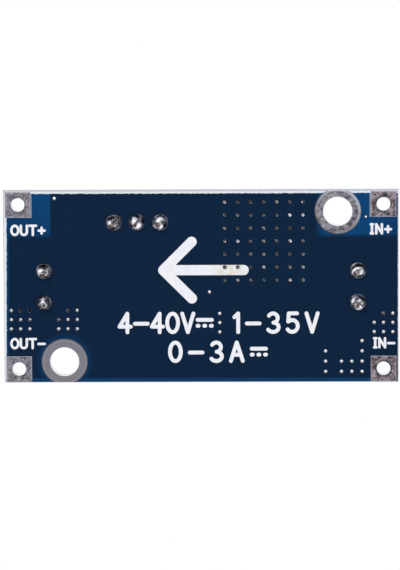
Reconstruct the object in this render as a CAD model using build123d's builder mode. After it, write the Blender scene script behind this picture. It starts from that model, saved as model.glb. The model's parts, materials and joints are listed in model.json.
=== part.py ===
from build123d import *
import os

# Step-down converter module: a small board that carries a switching regulator, a diode, a coil,
# two electrolytic capacitors and a multi-turn trimmer.
# All sizes are in millimetres. The origin is the board's centre on its underside, +Z points
# up through the component side, +X to the output end and +Y to the positive terminals.
os.makedirs("parts", exist_ok=True)

# Board, snapped out of a panel along V-shaped scores. Its length and width are worked out below,
# from the rows and columns of parts that it carries.
board_thickness = 1.6
score_depth = 0.45
score_inset = 0.12
plating = 0.05

# Terminal pads at the four corners
terminal_hole = 1.5
terminal_pad = 2.8
terminal_inset_x = 1.65
terminal_inset_y = 1.55

# Two screw holes with tinned rings, on one diagonal
screw_hole = 3.2
screw_ring = 5.1
screw_terminal_gap = 1.05
screw_regulator_gap = 0.45
screw_coil_gap = 0.3
screw_inset_y = 2.35

# Vias, which are six-sided because there are so many of them
via_diameter = 0.45
via_sides = 6
thermal_pitch = 1.43
thermal_count = 7
ground_pitch = 1.02
output_via_inset = 1.83
output_via_drop = 1.86
inner_via_inset = 2.59
input_via_inset = 1.65
input_via_drop = 2.25
corner_pitch = 1.13
corner_inset_x = 4.0
corner_inset_y = 1.2
last_column_step = 4.0
pin_via_gap = 1.07
pin_via_rise = 0.39
signal_via_drop = 0.29
edge_via_inset_x = 5.65
edge_via_inset_y = 0.84

# Leads through the board and their solder, with few sides because they are so fine
lead_hole = 0.9
lead_sides = 8
lead_tip = 1.25
solder_sides = 10
solder_diameter = 1.8
solder_shoulder = 1.5
solder_shoulder_height = 0.45
solder_neck = 0.95
solder_height = 0.95

# Capacitors, one at each end
capacitor_diameter = 8.0
capacitor_height = 12.2
capacitor_end_gap = 0.45
capacitor_lead = 0.6
capacitor_lead_pitch = 3.5
can_shoulder = 0.4
groove_height = 1.9
groove_half_width = 0.45
groove_depth = 0.35
bung_diameter = 6.6
bung_height = 1.4
bung_recess = 0.25

# Regulator in a moulded case with a heat tab and five leads
regulator_gap = 1.2
regulator_edge_gap = 0.9
regulator_width = 10.16
regulator_case_length = 8.7
regulator_height = 4.4
regulator_draft = 5
regulator_bevel = 0.7
regulator_mark = 1.5
regulator_mark_depth = 0.1
tab_overhang = 1.3
tab_thickness = 1.27
tab_narrow_width = 8.2
tab_front_margin = 1.3
tab_notch = 0.5
regulator_land = 9.4
regulator_lead_count = 5
regulator_lead_pitch = 1.7
regulator_lead_width = 0.8
regulator_lead_thickness = 0.45
regulator_lead_height = 2.4
regulator_lead_reach = 5.1
regulator_foot = 2.3
regulator_lead_bend = 0.45
lead_anchor = 1.0

# Diode with two folded leads
diode_gap = 1.5
diode_edge_gap = 0.8
diode_regulator_gap = 0.8
diode_length = 4.4
diode_width = 3.6
diode_height = 2.1
diode_draft = 7
diode_lead_width = 2.0
diode_lead_thickness = 0.2
diode_lead_reach = 0.45
diode_foot = 1.4

# Shielded coil
coil_gap = 1.05
coil_edge_gap = 1.15
coil_regulator_gap = 1.79
coil_size = 12.2
coil_corner = 2.0
coil_height = 7.0
coil_air_gap = 0.3
shield_wall = 1.05
shield_step = 0.4
drum_flange = 1.3
winding_margin = 0.35
winding_depth = 2.1
coil_clip_width = 4.5
coil_clip_thickness = 0.25
coil_clip_rise = 3.2
coil_clip_foot = 2.8

# Trimmer with its adjusting screw
trimmer_gap = 1.485
trimmer_edge_gap = 1.1
trimmer_coil_gap = 1.92
trimmer_length = 9.53
trimmer_width = 4.83
trimmer_height = 10.0
trimmer_corner = 0.35
trimmer_wall = 0.6
trimmer_standoff = 0.4
trimmer_foot = 1.2
trimmer_base_height = 1.1
trimmer_pin = 0.5
trimmer_pin_pitch = 2.54
trimmer_pin_count = 3
adjuster_diameter = 2.2
adjuster_inset_x = 1.9
adjuster_inset_y = 1.75
adjuster_depth = 3.2
adjuster_rise = 0.9
adjuster_clearance = 0.05
adjuster_chamfer = 0.15
adjuster_slot_width = 0.55
adjuster_slot_depth = 0.6

# Chip resistor of the feedback divider
chip_gap = 0.9
chip_regulator_gap = 1.875
chip_length = 2.0
chip_width = 1.25
chip_height = 0.55
chip_end = 0.4
chip_end_thickness = 0.05

# What stands between each end of the board and the parts in its middle: a capacitor, and in the
# corner a terminal and a screw hole
capacitor_end = capacitor_end_gap + capacitor_diameter
corner_end = terminal_inset_x + terminal_pad / 2 + screw_terminal_gap + screw_ring
regulator_start = max(capacitor_end + regulator_gap, corner_end + screw_regulator_gap)
coil_end = max(capacitor_end + coil_gap, corner_end + screw_coil_gap)
trimmer_end = capacitor_end + trimmer_gap

# The board is as long as its longer row of parts, and as wide as its wider column
coil_row = regulator_width + coil_regulator_gap + coil_size + coil_end
chip_row = regulator_width + chip_regulator_gap + chip_width + chip_gap
trimmer_row = chip_row + trimmer_length + trimmer_end
board_length = regulator_start + max(coil_row, trimmer_row)
coil_column = coil_edge_gap + coil_size + trimmer_coil_gap + trimmer_width + trimmer_edge_gap
regulator_column = regulator_edge_gap + tab_overhang + regulator_case_length + regulator_lead_reach
diode_column = diode_regulator_gap + diode_width + diode_edge_gap
board_width = max(coil_column, regulator_column + diode_column)

# Places worked out from the sizes above
top = board_thickness
half_length = board_length / 2
half_width = board_width / 2
terminal_x = half_length - terminal_inset_x
terminal_y = half_width - terminal_inset_y
screw_x = half_length - corner_end + screw_ring / 2
screw_y = half_width - screw_inset_y
capacitor_x = half_length - capacitor_end_gap - capacitor_diameter / 2
regulator_x = regulator_start + regulator_width / 2 - half_length
tab_end_y = half_width - regulator_edge_gap
case_y = tab_end_y - tab_overhang - regulator_case_length / 2
case_front_y = case_y - regulator_case_length / 2
toe_y = case_front_y - regulator_lead_reach
heel_y = toe_y + regulator_foot
land_y = tab_end_y - regulator_land / 2
pin_five_x = regulator_x + regulator_lead_pitch * (regulator_lead_count - 1) / 2
diode_x = capacitor_end + diode_gap + diode_lead_reach + diode_length / 2 - half_length
diode_y = toe_y - diode_regulator_gap - diode_width / 2
coil_x = half_length - coil_end - coil_size / 2
coil_y = coil_edge_gap + coil_size / 2 - half_width
trimmer_x = half_length - trimmer_end - trimmer_length / 2
trimmer_y = half_width - trimmer_edge_gap - trimmer_width / 2
adjuster_x = trimmer_x + trimmer_length / 2 - adjuster_inset_x
adjuster_y = trimmer_y - trimmer_width / 2 + adjuster_inset_y
chip_x = trimmer_x - trimmer_length / 2 - chip_gap - chip_width / 2
trimmer_pins = GridLocations(trimmer_pin_pitch, 0, trimmer_pin_count, 1)


def upright(x, y, z=0):
    """Sketch plane that stands at a point, with X to the right and Z up, for turned profiles."""
    return Plane(origin=(x, y, z), x_dir=(1, 0, 0), z_dir=(0, -1, 0))


def finish(piece, name):
    """Label a finished piece and write its file."""
    piece.label = name
    export_step(piece, f"parts/{name}.step")


def lead_places(x):
    """The two lead positions of the capacitor whose centre is at x."""
    return [(x, capacitor_lead_pitch / 2), (x, -capacitor_lead_pitch / 2)]


# Places of the trimmer's pins and of every lead that passes through the board
pin_places = [(trimmer_x + step.position.X, trimmer_y) for step in trimmer_pins]
all_leads = pin_places + lead_places(-capacitor_x) + lead_places(capacitor_x)


def ground_block(x, y, short_side=0):
    """Places of three columns of three ground vias around x, y. The column on the short side, -1 or
    1, lacks its upper via, because a capacitor's lead is near."""
    return [
        (x + column * ground_pitch, y + row * ground_pitch)
        for column in (-1, 0, 1)
        for row in (-1, 0, 1)
        if not (row == 1 and short_side and column == short_side)
    ]


def via_column(x, y, count, pitch):
    """Places of a column of vias that starts at x, y and runs up."""
    return [(x, y + step * pitch) for step in range(count)]


# Heat vias under the regulator's tab
thermal_grid = GridLocations(thermal_pitch, thermal_pitch, thermal_count, thermal_count)
via_places = [(regulator_x + step.position.X, land_y + step.position.Y) for step in thermal_grid]

# Ground vias on both sides of the output capacitor and outside the input capacitor
output_via_y = -capacitor_lead_pitch / 2 - output_via_drop
input_via_y = -capacitor_lead_pitch / 2 - input_via_drop
via_places += ground_block(half_length - output_via_inset, output_via_y)
via_places += ground_block(capacitor_x - inner_via_inset, output_via_y, short_side=1)
via_places += ground_block(input_via_inset - half_length, input_via_y, short_side=1)

# Ground vias between the negative input terminal and the diode, in columns of unlike height
corner_x = corner_inset_x - half_length
corner_y = corner_inset_y - half_width
via_places += via_column(corner_x, corner_y, 4, corner_pitch)
via_places += via_column(corner_x + corner_pitch, corner_y, 2, corner_pitch)
via_places += via_column(corner_x + 2 * corner_pitch, corner_y, 2, corner_pitch)
via_places += via_column(corner_x + last_column_step, corner_y, 3, corner_pitch)

# Ground vias beside the regulator's fifth lead, and the single vias of the signal tracks
pin_via_x = pin_five_x + regulator_lead_width / 2 + pin_via_gap
via_places += via_column(pin_via_x, toe_y + pin_via_rise, 3, ground_pitch)
via_places += [
    (coil_x - (coil_size + coil_regulator_gap) / 2, case_front_y - signal_via_drop),
    (half_length - edge_via_inset_x, half_width - edge_via_inset_y),
    (screw_terminal_gap / 2 + terminal_pad / 2 - terminal_x, terminal_y - terminal_pad / 2),
]

# Board with its scored edges, holes and vias
with BuildPart() as board:
    Box(
        board_length,
        board_width,
        board_thickness,
        align=(Align.CENTER, Align.CENTER, Align.MIN),
    )
    for face in board.faces().sort_by(Axis.Z)[0], board.faces().sort_by(Axis.Z)[-1]:
        chamfer(face.edges(), length=score_inset, length2=score_depth, reference=face)
    with Locations((-screw_x, screw_y), (screw_x, -screw_y)):
        Hole(screw_hole / 2)
    with GridLocations(2 * terminal_x, 2 * terminal_y, 2, 2):
        Hole(terminal_hole / 2)
    with BuildSketch():
        with Locations(*all_leads):
            RegularPolygon(lead_hole / 2, lead_sides)
        with Locations(*via_places):
            RegularPolygon(via_diameter / 2, via_sides)
    extrude(amount=board_thickness, mode=Mode.SUBTRACT)
finish(board.part, "circuit_board")

# Tinned pads of the four terminals, each on both faces of the board
terminals = {
    "input_positive": (-terminal_x, terminal_y),
    "input_negative": (-terminal_x, -terminal_y),
    "output_positive": (terminal_x, terminal_y),
    "output_negative": (terminal_x, -terminal_y),
}
for name, (x, y) in terminals.items():
    with BuildPart() as pad:
        for level in -plating, top:
            with BuildSketch(Plane.XY.offset(level)):
                with Locations((x, y)):
                    Rectangle(terminal_pad, terminal_pad)
                    Circle(terminal_hole / 2, mode=Mode.SUBTRACT)
            extrude(amount=plating)
    finish(pad.part, f"{name}_pad")

# Tinned rings of the screw holes on both faces, cut off where they meet the board's scored edge
screw_holes = {"input": (-screw_x, screw_y), "output": (screw_x, -screw_y)}
for name, (x, y) in screw_holes.items():
    with BuildPart() as ring:
        for level in -plating, top:
            with BuildSketch(Plane.XY.offset(level)):
                with Locations((x, y)):
                    Circle(screw_ring / 2)
                    Circle(screw_hole / 2, mode=Mode.SUBTRACT)
                Rectangle(
                    board_length - 2 * score_inset,
                    board_width - 2 * score_inset,
                    mode=Mode.INTERSECT,
                )
            extrude(amount=plating)
    finish(ring.part, f"{name}_screw_ring")

# Solder joint, a cone that leans in towards its lead, made once for every lead
with BuildPart() as joint:
    sections = {
        0: solder_diameter,
        solder_shoulder_height: solder_shoulder,
        solder_height: solder_neck,
    }
    for depth, diameter in sections.items():
        with BuildSketch(Plane.XY.offset(-depth)):
            RegularPolygon(diameter / 2, solder_sides)
    loft(ruled=True)

# Capacitors: two leads, their solder, a rubber bung, and an aluminium can crimped over it
bung_foot = top + bung_recess
can_radius = capacitor_diameter / 2
for name, x in {"input": -capacitor_x, "output": capacitor_x}.items():
    with BuildPart() as leads:
        with BuildSketch(Plane.XY.offset(-lead_tip)):
            with Locations(*lead_places(x)):
                RegularPolygon(capacitor_lead / 2, lead_sides)
        extrude(amount=lead_tip + bung_foot + bung_height)
    finish(leads.part, f"{name}_capacitor_leads")

    with BuildPart() as joints:
        with Locations(*lead_places(x)):
            add(joint.part)
        add(leads.part, mode=Mode.SUBTRACT)
    finish(joints.part, f"{name}_capacitor_solder_joints")

    with BuildPart() as bung:
        with BuildSketch(Plane.XY.offset(bung_foot)):
            with Locations((x, 0)):
                Circle(bung_diameter / 2)
        extrude(amount=bung_height)
        add(leads.part, mode=Mode.SUBTRACT)
    finish(bung.part, f"{name}_capacitor_bung")

    with BuildPart() as can:
        with BuildSketch(upright(x, 0, top)):
            with BuildLine():
                Polyline(
                    (bung_diameter / 2, 0),
                    (can_radius, 0),
                    (can_radius, groove_height - groove_half_width),
                    (can_radius - groove_depth, groove_height),
                    (can_radius, groove_height + groove_half_width),
                    (can_radius, capacitor_height - can_shoulder),
                    (can_radius - can_shoulder, capacitor_height),
                    (0, capacitor_height),
                    (0, bung_recess + bung_height),
                    (bung_diameter / 2, bung_recess + bung_height),
                    close=True,
                )
            make_face()
        revolve(axis=Axis((x, 0, 0), (0, 0, 1)))
    finish(can.part, f"{name}_capacitor_can")

# Regulator's heat tab, with its narrow part in the case and two notches beside the case
with BuildPart() as tab:
    with BuildSketch(Plane.XY.offset(top)):
        with Locations((regulator_x, tab_end_y)):
            Rectangle(regulator_width, tab_overhang, align=(Align.CENTER, Align.MAX))
            Rectangle(
                tab_narrow_width,
                tab_overhang + regulator_case_length - tab_front_margin,
                align=(Align.CENTER, Align.MAX),
            )
        with Locations((regulator_x, tab_end_y - tab_overhang)):
            with GridLocations(regulator_width, 0, 2, 1):
                Circle(tab_notch, mode=Mode.SUBTRACT)
    extrude(amount=tab_thickness)
finish(tab.part, "regulator_tab")

# Regulator's leads, bent down and out to feet on the board
lead_centre = top + regulator_lead_height
foot_centre = top + regulator_lead_thickness / 2
with BuildPart() as regulator_leads:
    for number in range(regulator_lead_count):
        x = pin_five_x - number * regulator_lead_pitch
        with BuildSketch(Plane.YZ.offset(x)):
            with BuildLine():
                Polyline(
                    (case_front_y + lead_anchor, lead_centre),
                    (heel_y + regulator_lead_bend, lead_centre),
                    (heel_y, lead_centre - regulator_lead_bend),
                    (heel_y, foot_centre + regulator_lead_bend),
                    (heel_y - regulator_lead_bend, foot_centre),
                    (toe_y, foot_centre),
                )
            trace(line_width=regulator_lead_thickness)
        extrude(amount=regulator_lead_width / 2, both=True)
finish(regulator_leads.part, "regulator_leads")

# Regulator's moulded case, drafted above its parting line, with a bevel over the tab
with BuildPart() as case:
    with BuildSketch(Plane.XY.offset(top)):
        with Locations((regulator_x, case_y)):
            Rectangle(regulator_width, regulator_case_length)
    extrude(amount=regulator_lead_height)
    with BuildSketch(Plane.XY.offset(lead_centre)):
        with Locations((regulator_x, case_y)):
            Rectangle(regulator_width, regulator_case_length)
    extrude(amount=regulator_height - regulator_lead_height, taper=regulator_draft)
    crown = case.faces().sort_by(Axis.Z)[-1]
    chamfer(crown.edges().sort_by(Axis.Y)[-1], length=regulator_bevel)
    with Locations((regulator_x, case_y, top + regulator_height)):
        Hole(regulator_mark / 2, depth=regulator_mark_depth)
    add(tab.part, mode=Mode.SUBTRACT)
    add(regulator_leads.part, mode=Mode.SUBTRACT)
finish(case.part, "regulator_case")

# Diode's leads, folded down its ends and under it
diode_middle = top + (diode_height + diode_lead_thickness) / 2
lead_edge = diode_length / 2 + diode_lead_reach - diode_lead_thickness / 2
with BuildPart() as diode_leads:
    for side in -1, 1:
        with BuildSketch(upright(diode_x, diode_y)):
            with BuildLine():
                Polyline(
                    (side * (diode_length / 2 - lead_anchor), diode_middle),
                    (side * lead_edge, diode_middle),
                    (side * lead_edge, top + diode_lead_thickness / 2),
                    (side * (lead_edge - diode_foot), top + diode_lead_thickness / 2),
                )
            trace(line_width=diode_lead_thickness)
        extrude(amount=diode_lead_width / 2, both=True)
finish(diode_leads.part, "diode_leads")

# Diode's moulded case, drafted both ways from its leads
with BuildPart() as diode_case:
    half_height = (diode_height - diode_lead_thickness) / 2
    with BuildSketch(Plane.XY.offset(diode_middle)):
        with Locations((diode_x, diode_y)):
            Rectangle(diode_length, diode_width)
    extrude(amount=half_height, both=True, taper=diode_draft)
    add(diode_leads.part, mode=Mode.SUBTRACT)
finish(diode_case.part, "diode_case")

# Coil's clips, which carry it on the board
coil_foot = top + coil_clip_thickness
clip_edge = (coil_size + coil_clip_thickness) / 2
with BuildPart() as clips:
    for side in -1, 1:
        with BuildSketch(upright(coil_x, coil_y)):
            with BuildLine():
                Polyline(
                    (side * clip_edge, top + coil_clip_rise),
                    (side * clip_edge, top + coil_clip_thickness / 2),
                    (side * (clip_edge - coil_clip_foot), top + coil_clip_thickness / 2),
                )
            trace(line_width=coil_clip_thickness)
        extrude(amount=coil_clip_width / 2, both=True)
finish(clips.part, "coil_clips")

# Coil's square ferrite shield, with cut corners and a round well
drum_radius = coil_size / 2 - shield_wall - coil_air_gap
winding_radius = drum_radius - winding_margin
post_radius = winding_radius - winding_depth
coil_body = coil_height - coil_clip_thickness
with BuildPart() as shield:
    with BuildSketch(Plane.XY.offset(coil_foot)) as outline:
        with Locations((coil_x, coil_y)):
            Rectangle(coil_size, coil_size)
        chamfer(outline.vertices(), length=coil_corner)
        with Locations((coil_x, coil_y)):
            Circle(coil_size / 2 - shield_wall, mode=Mode.SUBTRACT)
    extrude(amount=coil_body - shield_step)
finish(shield.part, "coil_shield")

# Coil's ferrite drum: two flanges on a post
with BuildPart() as drum:
    with BuildSketch(upright(coil_x, coil_y, coil_foot)):
        with BuildLine():
            Polyline(
                (0, 0),
                (drum_radius, 0),
                (drum_radius, drum_flange),
                (post_radius, drum_flange),
                (post_radius, coil_body - drum_flange),
                (drum_radius, coil_body - drum_flange),
                (drum_radius, coil_body),
                (0, coil_body),
                close=True,
            )
        make_face()
    revolve(axis=Axis((coil_x, coil_y, 0), (0, 0, 1)))
finish(drum.part, "coil_drum")

# Coil's copper winding, wound full between the flanges
with BuildPart() as winding:
    with BuildSketch(Plane.XY.offset(coil_foot + drum_flange)):
        with Locations((coil_x, coil_y)):
            Circle(winding_radius)
            Circle(post_radius, mode=Mode.SUBTRACT)
    extrude(amount=coil_body - 2 * drum_flange)
finish(winding.part, "coil_winding")

# Trimmer's pins
base_foot = top + trimmer_standoff
with BuildPart() as pins:
    with BuildSketch(Plane.XY.offset(-lead_tip)):
        with Locations(*pin_places):
            RegularPolygon(trimmer_pin / 2, lead_sides)
    extrude(amount=lead_tip + base_foot + trimmer_base_height)
finish(pins.part, "trimmer_pins")

# Trimmer's solder joints
with BuildPart() as joints:
    with Locations(*pin_places):
        add(joint.part)
    add(pins.part, mode=Mode.SUBTRACT)
finish(joints.part, "trimmer_solder_joints")

# Trimmer's cast seal, which closes the case around the pins
with BuildPart() as seal:
    with Locations((trimmer_x, trimmer_y, base_foot)):
        Box(
            trimmer_length - 2 * trimmer_wall,
            trimmer_width - 2 * trimmer_wall,
            trimmer_base_height,
            align=(Align.CENTER, Align.CENTER, Align.MIN),
        )
    add(pins.part, mode=Mode.SUBTRACT)
finish(seal.part, "trimmer_seal")

# Trimmer's case, standing on two rails, with the seal's pocket and the adjuster's bore
case_top = top + trimmer_height
with BuildPart() as trimmer_case:
    with BuildSketch(Plane.XY.offset(top)) as outline:
        with Locations((trimmer_x, trimmer_y)):
            Rectangle(trimmer_length, trimmer_width)
        chamfer(outline.vertices(), length=trimmer_corner)
    extrude(amount=trimmer_height)
    with Locations((trimmer_x, trimmer_y, top)):
        Box(
            trimmer_length - 2 * trimmer_wall,
            trimmer_width - 2 * trimmer_wall,
            trimmer_standoff + trimmer_base_height,
            align=(Align.CENTER, Align.CENTER, Align.MIN),
            mode=Mode.SUBTRACT,
        )
        Box(
            trimmer_length - 2 * trimmer_foot,
            trimmer_width,
            trimmer_standoff,
            align=(Align.CENTER, Align.CENTER, Align.MIN),
            mode=Mode.SUBTRACT,
        )
    with Locations((adjuster_x, adjuster_y, case_top)):
        Hole(adjuster_diameter / 2 + adjuster_clearance, depth=adjuster_depth)
finish(trimmer_case.part, "trimmer_case")

# Trimmer's brass adjusting screw, with a chamfered head and a slot
with BuildPart() as adjuster:
    with Locations((adjuster_x, adjuster_y, case_top - adjuster_depth + adjuster_clearance)):
        Cylinder(
            adjuster_diameter / 2,
            adjuster_depth - adjuster_clearance + adjuster_rise,
            align=(Align.CENTER, Align.CENTER, Align.MIN),
        )
    rim_edge = adjuster.faces().sort_by(Axis.Z)[-1].edges()
    chamfer(rim_edge, length=adjuster_chamfer)
    with Locations((adjuster_x, adjuster_y, case_top + adjuster_rise)):
        Box(
            adjuster_diameter,
            adjuster_slot_width,
            adjuster_slot_depth,
            align=(Align.CENTER, Align.CENTER, Align.MAX),
            mode=Mode.SUBTRACT,
        )
finish(adjuster.part, "trimmer_adjuster")

# Chip resistor: ceramic body and its two tinned ends
with BuildPart() as chip:
    with Locations((chip_x, trimmer_y, top + chip_end_thickness)):
        Box(
            chip_width,
            chip_length - 2 * chip_end_thickness,
            chip_height - 2 * chip_end_thickness,
            align=(Align.CENTER, Align.CENTER, Align.MIN),
        )
finish(chip.part, "feedback_resistor_body")
with BuildPart() as chip_ends:
    with Locations((chip_x, trimmer_y, top)):
        with GridLocations(0, chip_length - chip_end, 1, 2):
            Box(
                chip_width,
                chip_end,
                chip_height,
                align=(Align.CENTER, Align.CENTER, Align.MIN),
            )
    add(chip.part, mode=Mode.SUBTRACT)
finish(chip_ends.part, "feedback_resistor_ends")
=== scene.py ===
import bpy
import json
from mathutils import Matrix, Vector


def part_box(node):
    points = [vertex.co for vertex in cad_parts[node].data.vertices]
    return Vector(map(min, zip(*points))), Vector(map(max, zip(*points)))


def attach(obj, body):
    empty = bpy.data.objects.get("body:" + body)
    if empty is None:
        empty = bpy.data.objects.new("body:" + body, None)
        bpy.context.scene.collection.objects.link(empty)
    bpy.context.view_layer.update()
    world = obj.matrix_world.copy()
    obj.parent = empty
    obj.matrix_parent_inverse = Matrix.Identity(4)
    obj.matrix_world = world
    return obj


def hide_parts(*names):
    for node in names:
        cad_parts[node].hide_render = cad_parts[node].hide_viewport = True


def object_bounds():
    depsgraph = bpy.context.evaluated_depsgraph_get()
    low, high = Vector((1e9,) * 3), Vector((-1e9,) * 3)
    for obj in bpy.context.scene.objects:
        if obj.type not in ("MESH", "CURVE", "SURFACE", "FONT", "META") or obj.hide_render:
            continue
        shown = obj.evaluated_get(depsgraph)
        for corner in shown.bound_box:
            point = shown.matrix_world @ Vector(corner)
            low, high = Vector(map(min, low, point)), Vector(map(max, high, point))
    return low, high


bl_info = {
    "name": "Step-down converter board",
    "version": (1, 0, 0),
    "blender": (4, 5, 0),
    "location": "View3D > Sidebar > Converter",
    "description": "Finishes, printing, solder and component details of a small converter board",
    "category": "Object",
}

import json
from functools import reduce

import bmesh
import bpy
import numpy as np
from bpy.props import FloatProperty, FloatVectorProperty, PointerProperty
from mathutils import Matrix, Vector

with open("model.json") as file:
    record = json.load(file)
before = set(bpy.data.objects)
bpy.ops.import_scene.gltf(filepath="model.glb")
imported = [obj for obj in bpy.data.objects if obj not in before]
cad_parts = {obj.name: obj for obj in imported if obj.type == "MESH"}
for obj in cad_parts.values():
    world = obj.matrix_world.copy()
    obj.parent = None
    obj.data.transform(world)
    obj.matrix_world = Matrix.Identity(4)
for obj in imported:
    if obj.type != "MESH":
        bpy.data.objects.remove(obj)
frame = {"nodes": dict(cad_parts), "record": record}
cad_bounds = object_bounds()

# Shapes are in metres, with sizes that are easier to read in millimetres multiplied by MM.
# Materials work in millimetres.
MM = 0.001
BODY = "module"

# Half the board's length, half its width and the level of its upper face; its underside is at 0
HALF_LENGTH, HALF_WIDTH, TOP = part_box("circuit_board")[1]

# Middles of the two screw holes in the board's plane, in millimetres
SCREW_HOLES = {
    row["name"].split("_")[0]: (row["pos_m"][0] / MM, row["pos_m"][1] / MM)
    for row in frame["record"]["mounts"]
    if row["name"].endswith("_screw_hole")
}


def centre(node):
    """Middle of a solid's box."""
    low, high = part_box(node)
    return (low + high) / 2


def piece_size(node):
    """Length, width and height of a solid's box."""
    low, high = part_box(node)
    return high - low


def top_of(node):
    """Level of a solid's upper side."""
    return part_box(node)[1].z


# Heat vias under the regulator's tab: seven by seven, centred under the middle of its land
HEAT_PITCH = 1.43 * MM
HEAT_COUNT = 7
LAND_LENGTH = 9.4 * MM
HEAT_STEPS = (np.arange(HEAT_COUNT) - (HEAT_COUNT - 1) / 2) * HEAT_PITCH
LAND_MIDDLE = (centre("regulator_tab").x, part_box("regulator_tab")[1].y - LAND_LENGTH / 2)
HEAT_GRID = [(LAND_MIDDLE[0] + dx, LAND_MIDDLE[1] + dy) for dx in HEAT_STEPS for dy in HEAT_STEPS]

# Columns of open vias in millimetres: their x places, the lowest y, how many, and the pitch
VIA_COLUMNS = (
    ((-21.02, -20.0), -5.02, 3, 1.02),
    ((-18.98,), -5.02, 2, 1.02),
    ((-17.65,), -9.4, 4, 1.13),
    ((-16.52, -15.39), -9.4, 2, 1.13),
    ((-13.65,), -9.4, 3, 1.13),
    ((-2.05,), -5.01, 3, 1.02),
    ((-0.945,), -0.59, 1, 1.02),
    ((13.59, 14.61, 18.8, 19.82, 20.84), -4.63, 3, 1.02),
    ((15.63,), -4.63, 2, 1.02),
    ((16.0,), 9.76, 1, 1.02),
)
OPEN_VIAS = [
    (x * MM, (low + step * pitch) * MM)
    for columns, low, count, pitch in VIA_COLUMNS
    for x in columns
    for step in range(count)
]

# The via beside the input's positive pad, which the mask all but closes
TENTED_VIA = (-18.075 * MM, 7.65 * MM)

# Radii of the outside and the inside of a via's plated wall
VIA_OUTER = 0.222 * MM
VIA_BORE = 0.165 * MM

# How far the cut leads reach below the board
LEAD_DEPTH = 1.25 * MM

# Settings


def length_property(name, description, default):
    """A length that the user may change."""
    return FloatProperty(
        name=name, description=description, default=default, min=0.0, unit="LENGTH", precision=6
    )


def angle_property(name, description, degrees):
    """An angle that the user may change, its default given in degrees."""
    return FloatProperty(
        name=name, description=description, default=np.radians(degrees), subtype="ANGLE"
    )


def share_property(name, description, default, most=1.0):
    """A share, from nought to its most, that the user may change."""
    return FloatProperty(
        name=name, description=description, default=default, min=0.0, max=most, subtype="FACTOR"
    )


def colour_property(name, description, default):
    """A colour that the user may change."""
    return FloatVectorProperty(
        name=name, description=description, default=default, min=0.0, max=1.0, subtype="COLOR"
    )


class BoardSettings(bpy.types.PropertyGroup):
    """Colours of the bare board."""

    mask: colour_property("Mask on copper", "Solder mask over copper", (0.0025, 0.0145, 0.0427))
    bare: colour_property(
        "Mask on laminate", "Solder mask where copper is absent", (0.0022, 0.0500, 0.1580)
    )
    laminate: colour_property("Laminate", "Snapped edge of the glass laminate", (0.66, 0.70, 0.77))
    tin: colour_property("Tin", "Levelled tin on pads and rings", (0.171, 0.160, 0.187))
    wall: colour_property("Hole wall", "Tinned wall of the plated holes", (0.86, 0.87, 0.92))


class PrintSettings(bpy.types.PropertyGroup):
    """Sizes and colour of the white printing."""

    colour: colour_property("Ink", "Printing ink", (0.84, 0.85, 0.92))
    thickness: length_property("Thickness", "Height of the ink over the mask", 0.02 * MM)
    arrow_stroke: length_property("Arrow stroke", "Width of the arrow's strokes", 1.12 * MM)
    rating_stroke: length_property("Rating stroke", "Width of the rating's strokes", 0.42 * MM)
    rating_height: length_property("Rating height", "Height of the rating's figures", 2.05 * MM)
    label_stroke: length_property("Label stroke", "Width of the labels' strokes", 0.27 * MM)
    label_height: length_property("Label height", "Height of the terminal labels", 1.0 * MM)


class SolderSettings(bpy.types.PropertyGroup):
    """Sizes and colour of the soldered joints."""

    radius: length_property("Joint radius", "Radius of a joint on the board", 0.9 * MM)
    height: length_property("Joint height", "Depth of a joint below the board", 0.95 * MM)
    ripple: share_property("Ripple", "Unevenness of the joints", 0.05, 0.2)
    colour: colour_property("Solder", "Bright solder", (0.45, 0.445, 0.49))


class SleeveSettings(bpy.types.PropertyGroup):
    """Shrunk sleeves of the capacitors."""

    thickness: length_property("Thickness", "Thickness of the sleeve", 0.09 * MM)
    lip: length_property("Lip", "How far the sleeve reaches in over the can's top", 0.95 * MM)
    colour: colour_property("Sleeve", "Sleeve colour", (0.012, 0.016, 0.022))
    stripe: colour_property("Stripe", "Stripe of the negative lead", (0.55, 0.56, 0.58))


class StageSettings(bpy.types.PropertyGroup):
    """Camera, light and floor."""

    tilt: angle_property("Tilt", "Camera's angle from square towards the upper edge", 6.5)
    swing: angle_property("Swing", "Camera's angle from square towards the input end", 1.5)
    roll: angle_property("Roll", "Camera's turn about its view", -0.32)
    distance: length_property("Distance", "Camera's distance", 0.45)
    lens: FloatProperty(name="Lens", description="Focal length", default=259.5, unit="CAMERA")
    world: share_property("World", "Strength of the soft light all round", 0.62)
    lamp: share_property("Lamps", "Share of the light from each lamp", 0.42)
    floor: colour_property("Floor", "Pale floor", (0.80, 0.80, 0.80))


SETTINGS = {
    "converter_board": BoardSettings,
    "converter_print": PrintSettings,
    "converter_solder": SolderSettings,
    "converter_sleeve": SleeveSettings,
    "converter_stage": StageSettings,
}

# Surfaces


def circle(sides):
    """Angles of the corners of a ring."""
    return np.linspace(0, 2 * np.pi, sides, endpoint=False)


def ringed(points):
    """Vertices and quads of a surface given as rows and columns of points, where each row is a
    ring: its last point is joined to its first."""
    rows, columns = points.shape[:2]
    index = np.arange(rows * columns).reshape(rows, columns)
    index = np.hstack([index, index[:, :1]])
    corners = [index[:-1, :-1], index[:-1, 1:], index[1:, 1:], index[1:, :-1]]
    return points.reshape(-1, 3), np.stack(corners, -1).reshape(-1, 4)


def turned(profile, place, sides, bulge=None):
    """Surface of revolution about a vertical axis: every profile point (radius, height) is carried
    round the axis. bulge(angle, height) gives factors for the radius."""
    profile = np.asarray(profile, float)
    angle = circle(sides)
    radius, height = profile[:, :1], profile[:, 1:]
    factor = 1.0 if bulge is None else bulge(angle, height)
    x = place[0] + radius * factor * np.cos(angle)
    y = place[1] + radius * factor * np.sin(angle)
    return ringed(np.stack(np.broadcast_arrays(x, y, place[2] + height), -1))


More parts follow.
